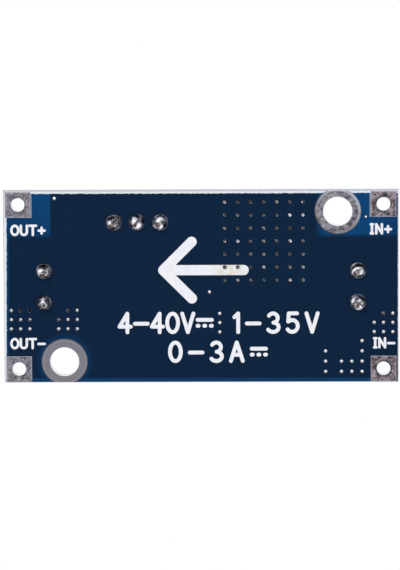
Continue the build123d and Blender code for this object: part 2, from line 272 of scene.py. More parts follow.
def rounded_profile(corners, radius, steps):
    """A profile through the given corners, each inner corner replaced by a quadratic arc that
    starts and ends at most the radius away from it."""
    corners = np.asarray(corners, float)
    points = [corners[0]]
    share = np.linspace(0, 1, steps)[:, None]
    for before, corner, after in zip(corners[:-2], corners[1:-1], corners[2:]):
        back, ahead = before - corner, after - corner
        reach = min(radius, np.linalg.norm(back) / 2, np.linalg.norm(ahead) / 2)
        start = corner + back / np.linalg.norm(back) * reach
        end = corner + ahead / np.linalg.norm(ahead) * reach
        points.extend((1 - share) ** 2 * start + 2 * share * (1 - share) * corner + share**2 * end)
    points.append(corners[-1])
    return np.array(points)


# Crossing strokes never share a plane: each rises by LAYER from its start to its end, and starts
# on one of the levels, which are two of these steps apart
LAYER = 0.0006 * MM
LEVELS = 7


def stroke(path, width, thickness, level=0, cap_steps=5):
    """Flat ribbon with round ends, in its own plane: at each point of the path the edges stand half
    the width to both sides, and past each end they close in along a half circle. The four columns
    are the left and right edges, below and above."""
    path = np.asarray(path, float)
    half = width / 2
    tangent = np.gradient(path, axis=0)
    tangent /= np.linalg.norm(tangent, axis=1)[:, None]
    turn = np.radians(np.linspace(90, 0, cap_steps + 1)[:-1])[:, None]
    before = path[0] - tangent[0] * half * np.sin(turn)
    after = path[-1] + tangent[-1] * half * np.sin(turn[::-1])
    middle = np.vstack([before, path, after])
    reach = half * np.vstack([np.cos(turn), np.ones((len(path), 1)), np.cos(turn[::-1])])
    ends = np.ones((cap_steps, 1))
    along = np.vstack([ends * tangent[0], tangent, ends * tangent[-1]])
    side = np.stack([-along[:, 1], along[:, 0]], -1) * reach
    edges = [middle + side, middle - side, middle - side, middle + side]
    top = thickness + LAYER * (2 * level + np.linspace(0, 1, len(middle)))
    heights = [0 * top, 0 * top, top, top]
    columns = [np.column_stack([edge, height]) for edge, height in zip(edges, heights)]
    return ringed(np.stack(columns, 1))


def arc(x, y, rx, ry, start, end, steps=16):
    """Points of an elliptic arc, its angles in degrees."""
    angle = np.radians(np.linspace(start, end, steps))
    return np.column_stack([x + rx * np.cos(angle), y + ry * np.sin(angle)])


def joined(*parts):
    """One path out of several runs of points."""
    return np.vstack([np.asarray(part, float) for part in parts])


# Stroke figures in a cell one unit high; = is the sign for direct current
FIGURES = {
    "0": [arc(0.29, 0.5, 0.29, 0.5, 0, 360, 28)],
    "1": [[(0.1, 0.8), (0.3, 1)], [(0.3, 1), (0.3, 0)]],
    "2": [joined(arc(0.28, 0.72, 0.27, 0.28, 165, -38), [(0.02, 0)]), [(0.02, 0), (0.56, 0)]],
    "3": [arc(0.26, 0.75, 0.25, 0.25, 150, -85), arc(0.26, 0.25, 0.3, 0.25, 80, -150)],
    "4": [[(0.42, 0), (0.42, 1)], [(0.42, 1), (0, 0.3)], [(0, 0.3), (0.6, 0.3)]],
    "5": [[(0.52, 1), (0.08, 1)], [(0.08, 1), (0.05, 0.56)], arc(0.26, 0.32, 0.3, 0.32, 130, -145)],
    "7": [[(0, 1), (0.56, 1)], [(0.56, 1), (0.18, 0)]],
    "A": [[(0, 0), (0.32, 1)], [(0.32, 1), (0.64, 0)], [(0.13, 0.34), (0.51, 0.34)]],
    "I": [[(0, 1), (0.24, 1)], [(0, 0), (0.24, 0)], [(0.12, 0), (0.12, 1)]],
    "N": [[(0, 0), (0, 1)], [(0, 1), (0.62, 0)], [(0.62, 0), (0.62, 1)]],
    "O": [arc(0.38, 0.5, 0.38, 0.5, 0, 360, 28)],
    "T": [[(0, 1), (0.72, 1)], [(0.36, 1), (0.36, 0)]],
    "U": [joined([(0, 1)], arc(0.33, 0.33, 0.33, 0.33, 180, 360), [(0.66, 1)])],
    "V": [[(0, 1), (0.3, 0)], [(0.3, 0), (0.6, 1)]],
    "+": [[(0, 0.46), (0.64, 0.46)], [(0.32, 0.14), (0.32, 0.78)]],
    "-": [[(0, 0.46), (0.68, 0.46)]],
    "=": [
        [(0, 0.66), (0.76, 0.66)],
        [(0, 0.34), (0.05, 0.34)],
        [(0.355, 0.34), (0.405, 0.34)],
        [(0.71, 0.34), (0.76, 0.34)],
    ],
}

# Usual gap between two figures, as a share of their height
FIGURE_GAP = 0.3

# How far the foot of the printing is sunk in the board, and that of the figures in the cases
PRINT_SUNK = 0.002 * MM
FIGURE_SUNK = 0.004 * MM
FIGURE_THICKNESS = 0.012 * MM


def divided(path, step):
    """The same path with more points, so that no two are further apart than the step."""
    along = np.append(0, np.cumsum(np.linalg.norm(np.diff(path, axis=0), axis=1)))
    places = np.union1d(along, np.arange(0, along[-1], step))
    return np.column_stack([np.interp(places, along, path[:, axis]) for axis in (0, 1)])


def lettering(text, height, width, thickness=FIGURE_THICKNESS, span=None, step=None):
    """Strokes of a line of figures, its first at the origin. The gap between figures is the usual
    one, or follows from the span that the line has to fill. With a step, the strokes are divided,
    so that they can follow a round surface."""
    widths = [max(np.max(np.asarray(path)[:, 0]) for path in FIGURES[figure]) for figure in text]
    gap = FIGURE_GAP if span is None else (span / height - sum(widths)) / (len(text) - 1)
    strokes, left = [], 0.0
    for figure, advance in zip(text, widths):
        for path in FIGURES[figure]:
            moved = (np.asarray(path, float) + (left, 0)) * height
            moved = moved if step is None else divided(moved, step)
            strokes.append(stroke(moved, width, thickness, len(strokes) % LEVELS))
        left += advance + gap
    return strokes


def row_length(row):
    """Length of a line of figures."""
    return max(points[:, 0].max() for points, _ in row)


def placed(surfaces, origin, right=(1, 0, 0), up=(0, 1, 0)):
    """Carries flat strokes to a plane: right and up are its directions, and the strokes stand out
    along the direction that faces the reader."""
    axes = np.array([right, up, np.cross(right, up)], float)
    return [(points @ axes + np.asarray(origin, float), faces) for points, faces in surfaces]


def wrapped(surfaces, axis, radius, angle, base):
    """Carries flat strokes round an upright cylinder: sideways steps become angles, read from
    outside, and the strokes stand out from its radius."""
    carried = []
    for points, faces in surfaces:
        turn = angle + points[:, 0] / radius
        reach = radius + points[:, 2]
        x = axis[0] + reach * np.cos(turn)
        y = axis[1] + reach * np.sin(turn)
        carried.append((np.column_stack([x, y, base + points[:, 1]]), faces))
    return carried


def added(name, mesh, body):
    """Puts a mesh into the scene as a piece, which rides on a body."""
    piece = bpy.data.objects.new(name, mesh)
    bpy.context.scene.collection.objects.link(piece)
    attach(piece, body)
    return piece


def make_piece(name, surfaces, finish, body=BODY, sharp=40.0):
    """A mesh out of surfaces: doubles are merged, faces turned outwards, and edges sharper than
    the angle stay sharp."""
    vertices, faces, offset = [], [], 0
    for points, quads in surfaces:
        vertices.append(points)
        faces.append(quads + offset)
        offset += len(points)
    mesh = bpy.data.meshes.new(name)
    mesh.from_pydata(np.concatenate(vertices).tolist(), [], np.concatenate(faces).tolist())
    shape = bmesh.new()
    shape.from_mesh(mesh)
    bmesh.ops.remove_doubles(shape, verts=shape.verts, dist=1e-8)
    bmesh.ops.dissolve_degenerate(shape, edges=shape.edges, dist=1e-9)
    bmesh.ops.recalc_face_normals(shape, faces=shape.faces)
    shape.to_mesh(mesh)
    shape.free()
    mesh.shade_smooth()
    mesh.set_sharp_from_angle(angle=np.radians(sharp))
    mesh.materials.append(finish)
    return added(name, mesh, body)


def softened(node, finish, width, body=BODY):
    """A copy of a solid with its sharp edges rounded: doubles are merged, flat faces made whole,
    and a bevel is cut on every edge sharper than its angle limit. Shading normals follow the
    larger faces, so that these look flat up to the bevel."""
    mesh = frame["nodes"][node].data.copy()
    mesh.name = f"{node}_rounded"
    shape = bmesh.new()
    shape.from_mesh(mesh)
    bmesh.ops.remove_doubles(shape, verts=shape.verts, dist=1e-7)
    bmesh.ops.dissolve_limit(
        shape, angle_limit=np.radians(0.5), verts=shape.verts, edges=shape.edges
    )
    bmesh.ops.recalc_face_normals(shape, faces=shape.faces)
    shape.to_mesh(mesh)
    shape.free()
    mesh.materials.clear()
    mesh.materials.append(finish)
    mesh.shade_smooth()
    piece = added(mesh.name, mesh, body)
    bevel = piece.modifiers.new("rounding", "BEVEL")
    bevel.width = width
    bevel.segments = 2
    bevel.limit_method = "ANGLE"
    bevel.angle_limit = np.radians(35)
    flat = piece.modifiers.new("flat_faces", "WEIGHTED_NORMAL")
    flat.weight = 100
    flat.keep_sharp = True
    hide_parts(node)
    return piece


# Materials

# Numbers of a Mix node's colour sockets, which share their names with those for other data
MIX_LOW, MIX_HIGH, MIX_RESULT = 6, 7, 2


class Field:
    """A number that varies over a surface, worked out by Math nodes."""

    def __init__(self, tree, socket):
        self.tree = tree
        self.socket = socket

    def math(self, operation, *others, clamp=False):
        """What a Math node makes of the field and of other fields or numbers."""
        node = self.tree.nodes.new("ShaderNodeMath")
        node.operation = operation
        node.use_clamp = clamp
        for number, value in enumerate((self, *others)):
            if isinstance(value, Field):
                self.tree.links.new(value.socket, node.inputs[number])
            else:
                node.inputs[number].default_value = value
        return Field(self.tree, node.outputs[0])

    def __add__(self, other):
        return self.math("ADD", other)

    def __sub__(self, other):
        return self.math("SUBTRACT", other)

    def __mul__(self, other):
        return self.math("MULTIPLY", other)

    def __abs__(self):
        return self.math("ABSOLUTE")

    def most(self, other):
        """The higher of both."""
        return self.math("MAXIMUM", other)

    def least(self, other):
        """The lower of both."""
        return self.math("MINIMUM", other)

    def clamped(self):
        """The field held between nought and one."""
        return self.math("ADD", 0.0, clamp=True)

    def rest(self):
        """One less the field."""
        return self * -1.0 + 1.0

    def over(self, edge, blur=0.02):
        """One where the field is over the edge and nought where it is under, with a soft step."""
        return ((self - edge) * (1 / blur) + 0.5).clamped()

    def under(self, edge, blur=0.02):
        """One where the field is under the edge."""
        return ((self - edge) * (-1 / blur) + 0.5).clamped()

    def between(self, low, high, blur=0.02):
        """One between two edges."""
        return self.over(low, blur) * self.under(high, blur)

    def hypotenuse(self, other):
        """Root of the sum of both squares."""
        return (self * self + other * other).math("SQRT")

    def from_nearest(self, pitch):
        """How far the field is from the nearest multiple of the pitch."""
        return ((self * (1 / pitch) + 0.5).math("FRACT") - 0.5) * pitch

    def waves(self, length):
        """Sine waves of the given length."""
        return (self * (2 * np.pi / length)).math("SINE")


class Finish:
    """A material of one shader whose colour, roughness and relief come from patterns on Object
    coordinates, in millimetres."""

    def __init__(self, name, colour, roughness=0.5, metallic=0.0, specular=0.5):
        self.material = bpy.data.materials.new(name)
        self.material.use_nodes = True
        self.tree = self.material.node_tree
        self.shader = self.tree.nodes["Principled BSDF"]
        self.shader.inputs["Base Color"].default_value = (*colour, 1.0)
        self.shader.inputs["Roughness"].default_value = roughness
        self.shader.inputs["Metallic"].default_value = metallic
        self.shader.inputs["Specular IOR Level"].default_value = specular
        self.place = self.tree.nodes.new("ShaderNodeTexCoord").outputs["Object"]
        # From here on, places are in millimetres
        self.place = self.scaled(MM)
        split = self.tree.nodes.new("ShaderNodeSeparateXYZ")
        self.tree.links.new(self.place, split.inputs["Vector"])
        self.x, self.y, self.z = (Field(self.tree, split.outputs[axis]) for axis in "XYZ")

    def scaled(self, size, stretch=(1, 1, 1)):
        """Coordinates that count in steps of the size, longer where they are stretched."""
        mapping = self.tree.nodes.new("ShaderNodeMapping")
        mapping.inputs["Scale"].default_value = [1 / (size * longer) for longer in stretch]
        self.tree.links.new(self.place, mapping.inputs["Vector"])
        return mapping.outputs["Vector"]

    def noise(self, size, detail=2.0, stretch=(1, 1, 1)):
        """Cloudy field with patches about one size across, stretched along an axis if asked."""
        node = self.tree.nodes.new("ShaderNodeTexNoise")
        node.inputs["Scale"].default_value = 1.0
        node.inputs["Detail"].default_value = detail
        self.tree.links.new(self.scaled(size, stretch), node.inputs["Vector"])
        return Field(self.tree, node.outputs["Fac"])

    def cells(self, size):
        """Field of small cells, each at its own level."""
        node = self.tree.nodes.new("ShaderNodeTexVoronoi")
        node.inputs["Scale"].default_value = 1.0
        grey = self.tree.nodes.new("ShaderNodeRGBToBW")
        self.tree.links.new(self.scaled(size), node.inputs["Vector"])
        self.tree.links.new(node.outputs["Color"], grey.inputs["Color"])
        return Field(self.tree, grey.outputs["Val"])

    def distance(self, x, y):
        """Distance in the plane of the board from a place in millimetres."""
        return (self.x - x).hypotenuse(self.y - y)

    def mix(self, share, low, high):
        """Colour that goes from low to high as the share goes from nought to one."""
        node = self.tree.nodes.new("ShaderNodeMix")
        node.data_type = "RGBA"
        self.tree.links.new(share.socket, node.inputs["Factor"])
        for number, value in ((MIX_LOW, low), (MIX_HIGH, high)):
            if isinstance(value, bpy.types.NodeSocket):
                self.tree.links.new(value, node.inputs[number])
            else:
                node.inputs[number].default_value = (*value, 1.0)
        return node.outputs[MIX_RESULT]

    def paint(self, socket):
        """Lets what makes a colour set the shader's."""
        self.tree.links.new(socket, self.shader.inputs["Base Color"])

    def drive(self, name, field):
        """Lets a field set one of the shader's numbers."""
        self.tree.links.new(field.socket, self.shader.inputs[name])

    def relief(self, field, depth):
        """Raises the surface where the field is high, by up to the depth in millimetres."""
        node = self.tree.nodes.new("ShaderNodeBump")
        node.inputs["Strength"].default_value = 1.0
        node.inputs["Distance"].default_value = depth * MM
        self.tree.links.new(field.socket, node.inputs["Height"])
        self.tree.links.new(node.outputs["Normal"], self.shader.inputs["Normal"])


def shade(colour, factor):
    """A colour made darker or lighter."""
    return tuple(min(1.0, c * factor) for c in colour)


def grained(name, colour, size, spread, depth, roughness=0.5, **look):
    """A finish whose colour wanders by the spread either way over patches of the given size, with
    a fine relief of a fifth of that size."""
    finish = Finish(name, colour, roughness, **look)
    patches = finish.noise(size, 3.0)
    fine = finish.noise(size / 5)
    share = (patches * 0.6 + fine * 0.4).clamped()
    finish.paint(finish.mix(share, shade(colour, 1 - 2 * spread), shade(colour, 1 + 2 * spread)))
    finish.drive("Roughness", (patches - 0.5) * (0.5 * roughness) + roughness)
    finish.relief(fine, depth)
    return finish.material


def dress(nodes, material):
    """Gives solids a material of their own."""
    for node in nodes:
        data = frame["nodes"][node].data
        data.materials.clear()
        data.materials.append(material)


# Operators


class ConverterOperator:
    """What the operators share: each is listed under its own name and can be undone."""

    bl_options = {"REGISTER", "UNDO"}


class CONVERTER_OT_stage(ConverterOperator, bpy.types.Operator):
    """Set up the camera at the photograph's angle, soft light from both sides and a pale floor"""

    bl_idname = "converter.stage"
    bl_label = "Stage"

    def execute(self, context):
        settings = context.scene.converter_stage
        self.camera(context, settings)
        self.world(context, settings)
        self.lamps(context, settings)
        self.floor(context, settings)
        context.scene.view_settings.view_transform = "Standard"
        return {"FINISHED"}

    def camera(self, context, settings):
        """The camera looks up at the underside. Its direction is square to the board, leaned by
        the tilt towards +Y and by the swing towards -X, and its sideways axis runs along -X. It
        aims a little off the board's middle, as the board lies a little off the photograph's."""
        tilt, swing, roll = settings.tilt, settings.swing, settings.roll
        outward = Vector(
            (-np.sin(swing) * np.cos(tilt), np.sin(tilt), -np.cos(tilt) * np.cos(swing))
        ).normalized()
        aim = Vector((0.086, 0.188, 0.0)) * MM
        right = (-outward).cross(Vector((0, 1, 0))).normalized()
        up = right.cross(-outward)
        side = right * np.cos(roll) + up * np.sin(roll)
        head = up * np.cos(roll) - right * np.sin(roll)
        place = aim + outward * settings.distance
        data = bpy.data.cameras.new("view")
        data.lens = settings.lens
        data.clip_end = 100.0
        view = bpy.data.objects.new("view", data)
        rows = [(side[i], head[i], outward[i], place[i]) for i in range(3)]
        view.matrix_world = Matrix([*rows, (0, 0, 0, 1)])
        context.scene.collection.objects.link(view)
        context.scene.camera = view

    def world(self, context, settings):
        """White behind the object and in what gloss and glass show, and softer as light."""
        world = bpy.data.worlds.new("studio")
        world.use_nodes = True
        context.scene.world = world
        tree = world.node_tree
        path = tree.nodes.new("ShaderNodeLightPath")
        seen = Field(tree, path.outputs["Is Camera Ray"])
        seen = seen.most(Field(tree, path.outputs["Is Glossy Ray"]))
        seen = seen.most(Field(tree, path.outputs["Is Transmission Ray"]))
        strength = seen * (1 - settings.world) + settings.world
        background = tree.nodes["Background"]
        background.inputs["Color"].default_value = (1, 1, 1, 1)
        tree.links.new(strength.socket, background.inputs["Strength"])

    def lamps(self, context, settings):
        """Two soft square lamps above and two below. A lamp's power gives its share of light at
        its distance, which for a small diffuse lamp is pi squared times the distance squared."""
        # Each lamp's place, the side of its square and its share beside the others
        lamps = {
            "lamp_above_left": ((-0.35, -0.40, 0.50), 0.30, 1.0),
            "lamp_above_right": ((0.45, 0.30, 0.45), 0.30, 0.5),
            "lamp_below_left": ((0.30, 0.35, -0.55), 0.22, 1.0),
            "lamp_below_right": ((-0.45, -0.30, -0.45), 0.22, 0.35),
        }
        for name, (place, side, share) in lamps.items():
            data = bpy.data.lights.new(name, "AREA")
            data.size = side
            data.energy = settings.lamp * share * (np.pi * Vector(place).length) ** 2
            lamp = bpy.data.objects.new(name, data)
            lamp.location = place
            lamp.rotation_euler = (-Vector(place)).to_track_quat("-Z", "Y").to_euler()
            context.scene.collection.objects.link(lamp)

    def floor(self, context, settings):
        """A wide plane where the leads' tips stand, seen only from above and fading out with its
        distance. For every other ray it is open, so the underside gets its own light."""
        reach = 0.9
        level = cad_bounds[0][2] - 0.01 * MM
        corners = [(-reach, -reach), (reach, -reach), (reach, reach), (-reach, reach)]
        mesh = bpy.data.meshes.new("floor")
        mesh.from_pydata([(x, y, level) for x, y in corners], [], [(0, 1, 2, 3)])
        floor = bpy.data.objects.new("floor", mesh)
        context.scene.collection.objects.link(floor)
        finish = Finish("floor_paper", settings.floor, roughness=0.9, specular=0.1)
        tree = finish.tree
        path = tree.nodes.new("ShaderNodeLightPath")
        side = tree.nodes.new("ShaderNodeNewGeometry")
        behind = Field(tree, side.outputs["Backfacing"])
        half_faded, fade_length = 330.0, 420.0
        fade = finish.distance(0.0, 0.0).under(half_faded, fade_length)
        shown = Field(tree, path.outputs["Is Camera Ray"]) * behind.rest() * fade
        clear = tree.nodes.new("ShaderNodeBsdfTransparent")
        choice = tree.nodes.new("ShaderNodeMixShader")
        tree.links.new(shown.socket, choice.inputs["Fac"])
        tree.links.new(clear.outputs["BSDF"], choice.inputs[1])
        tree.links.new(finish.shader.outputs["BSDF"], choice.inputs[2])
        output = tree.nodes["Material Output"]
        tree.links.new(choice.outputs["Shader"], output.inputs["Surface"])
        mesh.materials.append(finish.material)


class CONVERTER_OT_board(ConverterOperator, bpy.types.Operator):
    """Give the board its mask, laminate edge and plated hole walls"""

    bl_idname = "converter.board"
    bl_label = "Board finish"

    def execute(self, context):
        settings = context.scene.converter_board
        finish = Finish("solder_mask", settings.mask, roughness=0.3, specular=0.05)
        ragged = finish.noise(0.35, 3.0)
        cloud = finish.noise(3.0, 1.0)
        chipped, strip = self.sides(finish, ragged)
        bare = (self.corners(finish).most(strip) * (cloud * 0.5 + 0.75)).clamped()
        ink = finish.mix(bare, settings.mask, settings.bare)
        ink = self.heat_rings(finish, ink, settings)
        # Painted highlight: a pale line beside the upper pads
        ink = self.painted_pad_edge_highlight(finish, ink)
        edge, plated = self.rim(finish, chipped)
        skin = finish.mix(edge, ink, self.glass(finish, ragged, settings))
        finish.paint(finish.mix(plated, skin, settings.wall))
        finish.drive("Metallic", plated)
        finish.drive("Roughness", (edge * 0.4 + 0.38) * plated.rest() + plated * 0.28)
        finish.relief(edge * ragged + cloud * 0.2, 0.03)
        dress(["circuit_board"], finish.material)
        return {"FINISHED"}

    def corners(self, finish):
        """Where copper is absent under the mask: a corner at the output, brighter towards the upper
        edge, one at the input that fades away from its screw ring, and a halo round the other
        ring."""
        x, y = finish.x, finish.y
        output_start, output_end, output_foot = 16.45, 21.6, 5.5
        output_corner = x.between(output_start, output_end, 0.15) * y.over(output_foot, 0.15)
        output_corner = output_corner * ((y - output_foot) * 0.14 + 0.55) * (x * -0.09 + 2.55)
        input_start, input_foot = -13.1, 5.65
        from_ring = finish.distance(*SCREW_HOLES["input"])
        input_corner = x.under(input_start, 1.2) * y.over(input_foot, 0.5)
        input_corner = input_corner * (from_ring * -0.13 + 1.55)
        halo = finish.distance(*SCREW_HOLES["output"]).under(2.9, 0.6) * 0.38
        return output_corner.most(input_corner).most(halo)

    def sides(self, finish, ragged):
        """The frayed laminate along the outline, and the strip of mask without copper that follows
        it inwards."""
        x, y = finish.x, finish.y
        half_length, half_width = HALF_LENGTH / MM, HALF_WIDTH / MM
        frays, strips = [], []
        # Each side's distance inwards, how far its laminate is frayed, how far the strip reaches
        # and how pale it is
        for inwards, frayed_to, strip_to, level in (
            (x * -1.0 + half_length - y * 0.01, 0.34, 0.58, 0.7),
            (x + half_length, 0.09, 0.20, 0.0),
            (y * -1.0 + half_width, 0.34, 0.36, 0.0),
            (y + half_width, 0.05, 0.52, 0.65),
        ):
            frays.append((inwards + (ragged - 0.5) * 0.22).under(frayed_to, 0.04))
            strips.append(inwards.under(strip_to, 0.08) * level)
        return reduce(Field.most, frays), reduce(Field.most, strips)

    def heat_rings(self, finish, ink, settings):
        """Under the mask each heat via has a copper ring, which shows as a dark disc in a paler
        one."""
        pitch, margin = HEAT_PITCH / MM, 0.7
        first_x, first_y = (place / MM for place in HEAT_GRID[0])
        last_x, last_y = (place / MM for place in HEAT_GRID[-1])
        step_x = (finish.x - first_x).from_nearest(pitch)
        step_y = (finish.y - first_y).from_nearest(pitch)
        from_via = step_x.hypotenuse(step_y)
        gridded = finish.x.between(first_x - margin, last_x + margin)
        gridded = gridded * finish.y.between(first_y - margin, last_y + margin)
        gridded = gridded * finish.z.under(0.5)
        disc = from_via.under(0.4, 0.06) * gridded * 0.5
        ring = from_via.between(0.41, 0.49, 0.05) * gridded * 0.16
        return finish.mix(ring, finish.mix(disc, ink, (0.001, 0.006, 0.016)), settings.bare)

    def painted_pad_edge_highlight(self, finish, ink):
        """The mask opens a little wider than the upper pads, and a pale line is painted beside them
        on their inner side: a painted highlight along the mask's edge.
        """
        pad = centre("output_positive_pad") / MM
        along, across = abs(finish.x), abs(finish.y - pad.y)
        line = abs(along - pad.x).most(across).between(1.41, 1.52, 0.05)
        line = line * along.under(pad.x - 1.3) * across.under(1.42)
        return finish.mix(line * 0.75, ink, (0.36, 0.38, 0.42))

    def rim(self, finish, chipped):
        """The snapped edge with the frayed laminate, and the plated walls of the holes: all that
        lies between the faces, parted by its distance from the outline. At the input end and along
        the lower side the mask runs a little way over the score."""
        x, y, z = finish.x, finish.y, finish.z
        half_length, half_width = HALF_LENGTH / MM, HALF_WIDTH / MM
        score, skin = 0.3, 0.012
        run = (x + half_length).under(score, 0.05).most((y + half_width).under(score, 0.05))
        rim = (z - run * score).over(skin, 0.01) * z.under(TOP / MM - skin, 0.01)
        to_end = abs(x) * -1.0 + half_length
        to_side = abs(y) * -1.0 + half_width
        inside = to_end.over(0.6, 0.05) * to_side.over(0.25, 0.05)
        return chipped.most(rim * inside.rest()), rim * inside

    def glass(self, finish, ragged, settings):
        """Torn laminate, flecked, and painted paler near the underside face: painted light where it
        faces down.
        """
        speck = finish.noise(0.09)
        # Painted light: paler near the underside face, darker on the wall
        facing = finish.z.under(0.02, 0.02) * 0.32 - 0.12
        share = (ragged * 0.7 + speck * 0.6 + facing - 0.15).clamped()
        return finish.mix(share, shade(settings.laminate, 0.55), shade(settings.laminate, 1.35))


# Pale, slightly blue tin where it thins out over the edge of the copper, brightened in places as a
# painted highlight, and the painted shade of the hollows in it
THIN_TIN_AND_HIGHLIGHT = (0.40, 0.42, 0.47)
PAINTED_HOLLOW_SHADE = (0.026, 0.036, 0.052)


class CONVERTER_OT_lands(ConverterOperator, bpy.types.Operator):
    """Give the terminal pads and the screw rings their levelled tin, and line the vias with it"""

    bl_idname = "converter.lands"
    bl_label = "Pads, rings and vias"

    def execute(self, context):
        settings = context.scene.converter_board
        # Each end's tin: the tint of its pads, the fine and the slow grain of its pads and of its
        # ring, how dark the painted shade round its pads' holes is, how much the ring's rim
        # brightens towards the upper end of the board as a painted highlight, and how bright that
        # rim is
        for end, tint, pad_grain, ring_grain, hole_shade, lean, bright in (
            ("input", (1.04, 0.90, 0.88), (3.6, 3.2), (1.8, 2.2), 0.8, 0.2, 0.6),
            ("output", (1.04, 1.04, 1.05), (2.6, 1.2), (0.32, 0.11), 0.2, 0.0, 0.2),
        ):
            colour = tuple(c * t for c, t in zip(settings.tin, tint))
            self.pads(end, colour, pad_grain, hole_shade)
            self.ring(end, shade(settings.tin, 1.08), ring_grain, lean, bright)
        wall = self.lining_finish(settings)
        make_piece("via_linings", self.linings(OPEN_VIAS + HEAT_GRID), wall)
        return {"FINISHED"}

    def pads(self, end, colour, strengths, hole_shade):
        """The end's two square pads, with a pale rim, partly a painted highlight, and painted shade
        round the holes. At the input the lower one is darker."""
        finish, share = self.tin(f"tinned_pad_{end}", colour, strengths)
        middle = centre(f"{end}_positive_pad") / MM
        half = piece_size(f"{end}_positive_pad").x / 2 / MM
        dx, dy = abs(finish.x - middle.x), abs(abs(finish.y) - middle.y)
        rim = dx.most(dy).over(half - 0.08, 0.05) * 0.5
        # Painted shade round the holes, in patches
        painted_shade = dx.hypotenuse(dy).under(0.93, 0.1) * finish.noise(0.7, 1.0).over(0.42, 0.2)
        if end == "input":
            share = share * (finish.y.over(0.0) * 0.2 + 0.86)
        self.paint_tin(finish, colour, share, rim, painted_shade * hole_shade)
        dress([f"{end}_positive_pad", f"{end}_negative_pad"], finish.material)

    def ring(self, end, colour, strengths, lean, bright):
        """The end's screw ring, whose tin thins out over the edge of the copper. Its pale rim is
        partly a painted highlight, brighter towards the upper end, and a painted shade darkens the
        outer edge on the other side.
        """
        finish, share = self.tin(f"tinned_ring_{end}", colour, strengths)
        x, y = SCREW_HOLES[end]
        reach = finish.distance(x, y)
        towards = (finish.y - y) - (finish.x - x) * 0.6
        side = (towards * lean + 0.47).clamped()
        # Painted highlight on the rim towards the upper end, painted shade at the outer edge on the
        # other side
        rim = reach.over(2.28, 0.12) * side * (2 * bright)
        painted_shade = reach.over(2.43, 0.12) * (side * -0.7 + 1.0)
        self.paint_tin(finish, colour, share, rim, painted_shade)
        dress([f"{end}_screw_ring"], finish.material)

    def tin(self, name, colour, strengths):
        """Levelled tin: a metal of middling gloss, mottled by fine and by slow patches. With it
        comes the share of bright tin at each place."""
        finish = Finish(name, colour, roughness=0.42, metallic=1.0)
        fine, slow = finish.noise(0.15) - 0.5, finish.noise(0.6, 1.0) - 0.5
        grain = fine * strengths[0] + slow * strengths[1]
        finish.relief(grain, 0.01)
        return finish, grain + 0.5

    def paint_tin(self, finish, colour, share, rim, painted_shade):
        """Colours tin from dark to bright, with its lighter rim, partly a painted highlight, and
        the painted shade of its hollows.
        """
        body = finish.mix(share.clamped(), shade(colour, 0.3), shade(colour, 1.8))
        finish.paint(finish.mix(painted_shade, finish.mix(rim, body, THIN_TIN_AND_HIGHLIGHT), PAINTED_HOLLOW_SHADE))

    def linings(self, places):
        """Plated wall of each via: a tube, round where the board's hole is six-sided, whose mouths
        flare a little under the mask."""
        flare, proud = 0.03 * MM, 0.003 * MM
        low, high = -proud, TOP + proud
        profile = [
            (VIA_BORE, 2 * flare),
            (VIA_BORE + flare, low),
            (VIA_OUTER, low),
            (VIA_OUTER, high),
            (VIA_BORE + flare, high),
            (VIA_BORE, high - 2 * flare),
        ]
        return [turned(profile + profile[:1], (x, y, 0.0), 12) for x, y in places]

    def lining_finish(self, settings):
        """Tin on the wall, and mask where the lining's ends lie in the board's faces."""
        finish = Finish("via_wall", settings.wall, roughness=0.3, metallic=1.0)
        face = finish.z.under(0.01, 0.01).most(finish.z.over(TOP / MM - 0.01, 0.01))
        cloud = finish.noise(0.3)
        wall = finish.mix(cloud, shade(settings.wall, 0.7), settings.wall)
        finish.paint(finish.mix(face, wall, settings.mask))
        finish.drive("Metallic", face.rest())
        finish.relief(cloud, 0.01)
        return finish.material


# The arrow in millimetres: the ends of its shaft along the board, the line across the board that
# the shaft lies on, and how far its arms reach back and sideways
ARROW_TIP, ARROW_TAIL, ARROW_LINE, ARROW_ARM = 4.1, -4.7, 1.83, 3.12

# Lines of print in millimetres: the text, where it starts and ends along the board, and its foot
RATINGS = (
    ("4-40V=", 9.15, -1.40, -5.22),
    ("1-35V", -3.25, -13.00, -5.22),
    ("0-3A=", 3.63, -7.32, -8.42),
)
LABELS = (
    ("OUT+", 20.85, 16.94, 5.63),
    ("OUT-", 20.98, 17.05, -6.87),
    ("IN+", -18.48, -20.95, 5.68),
    ("IN-", -18.83, -21.31, -6.87),
)

# Components with a printed frame, and how far it stands off them in millimetres
FRAMED = {
    "regulator_case": 0.35,
    "coil_shield": 0.3,
    "trimmer_case": 0.3,
    "diode_case": 0.3,
    "feedback_resistor_ends": 0.3,
}


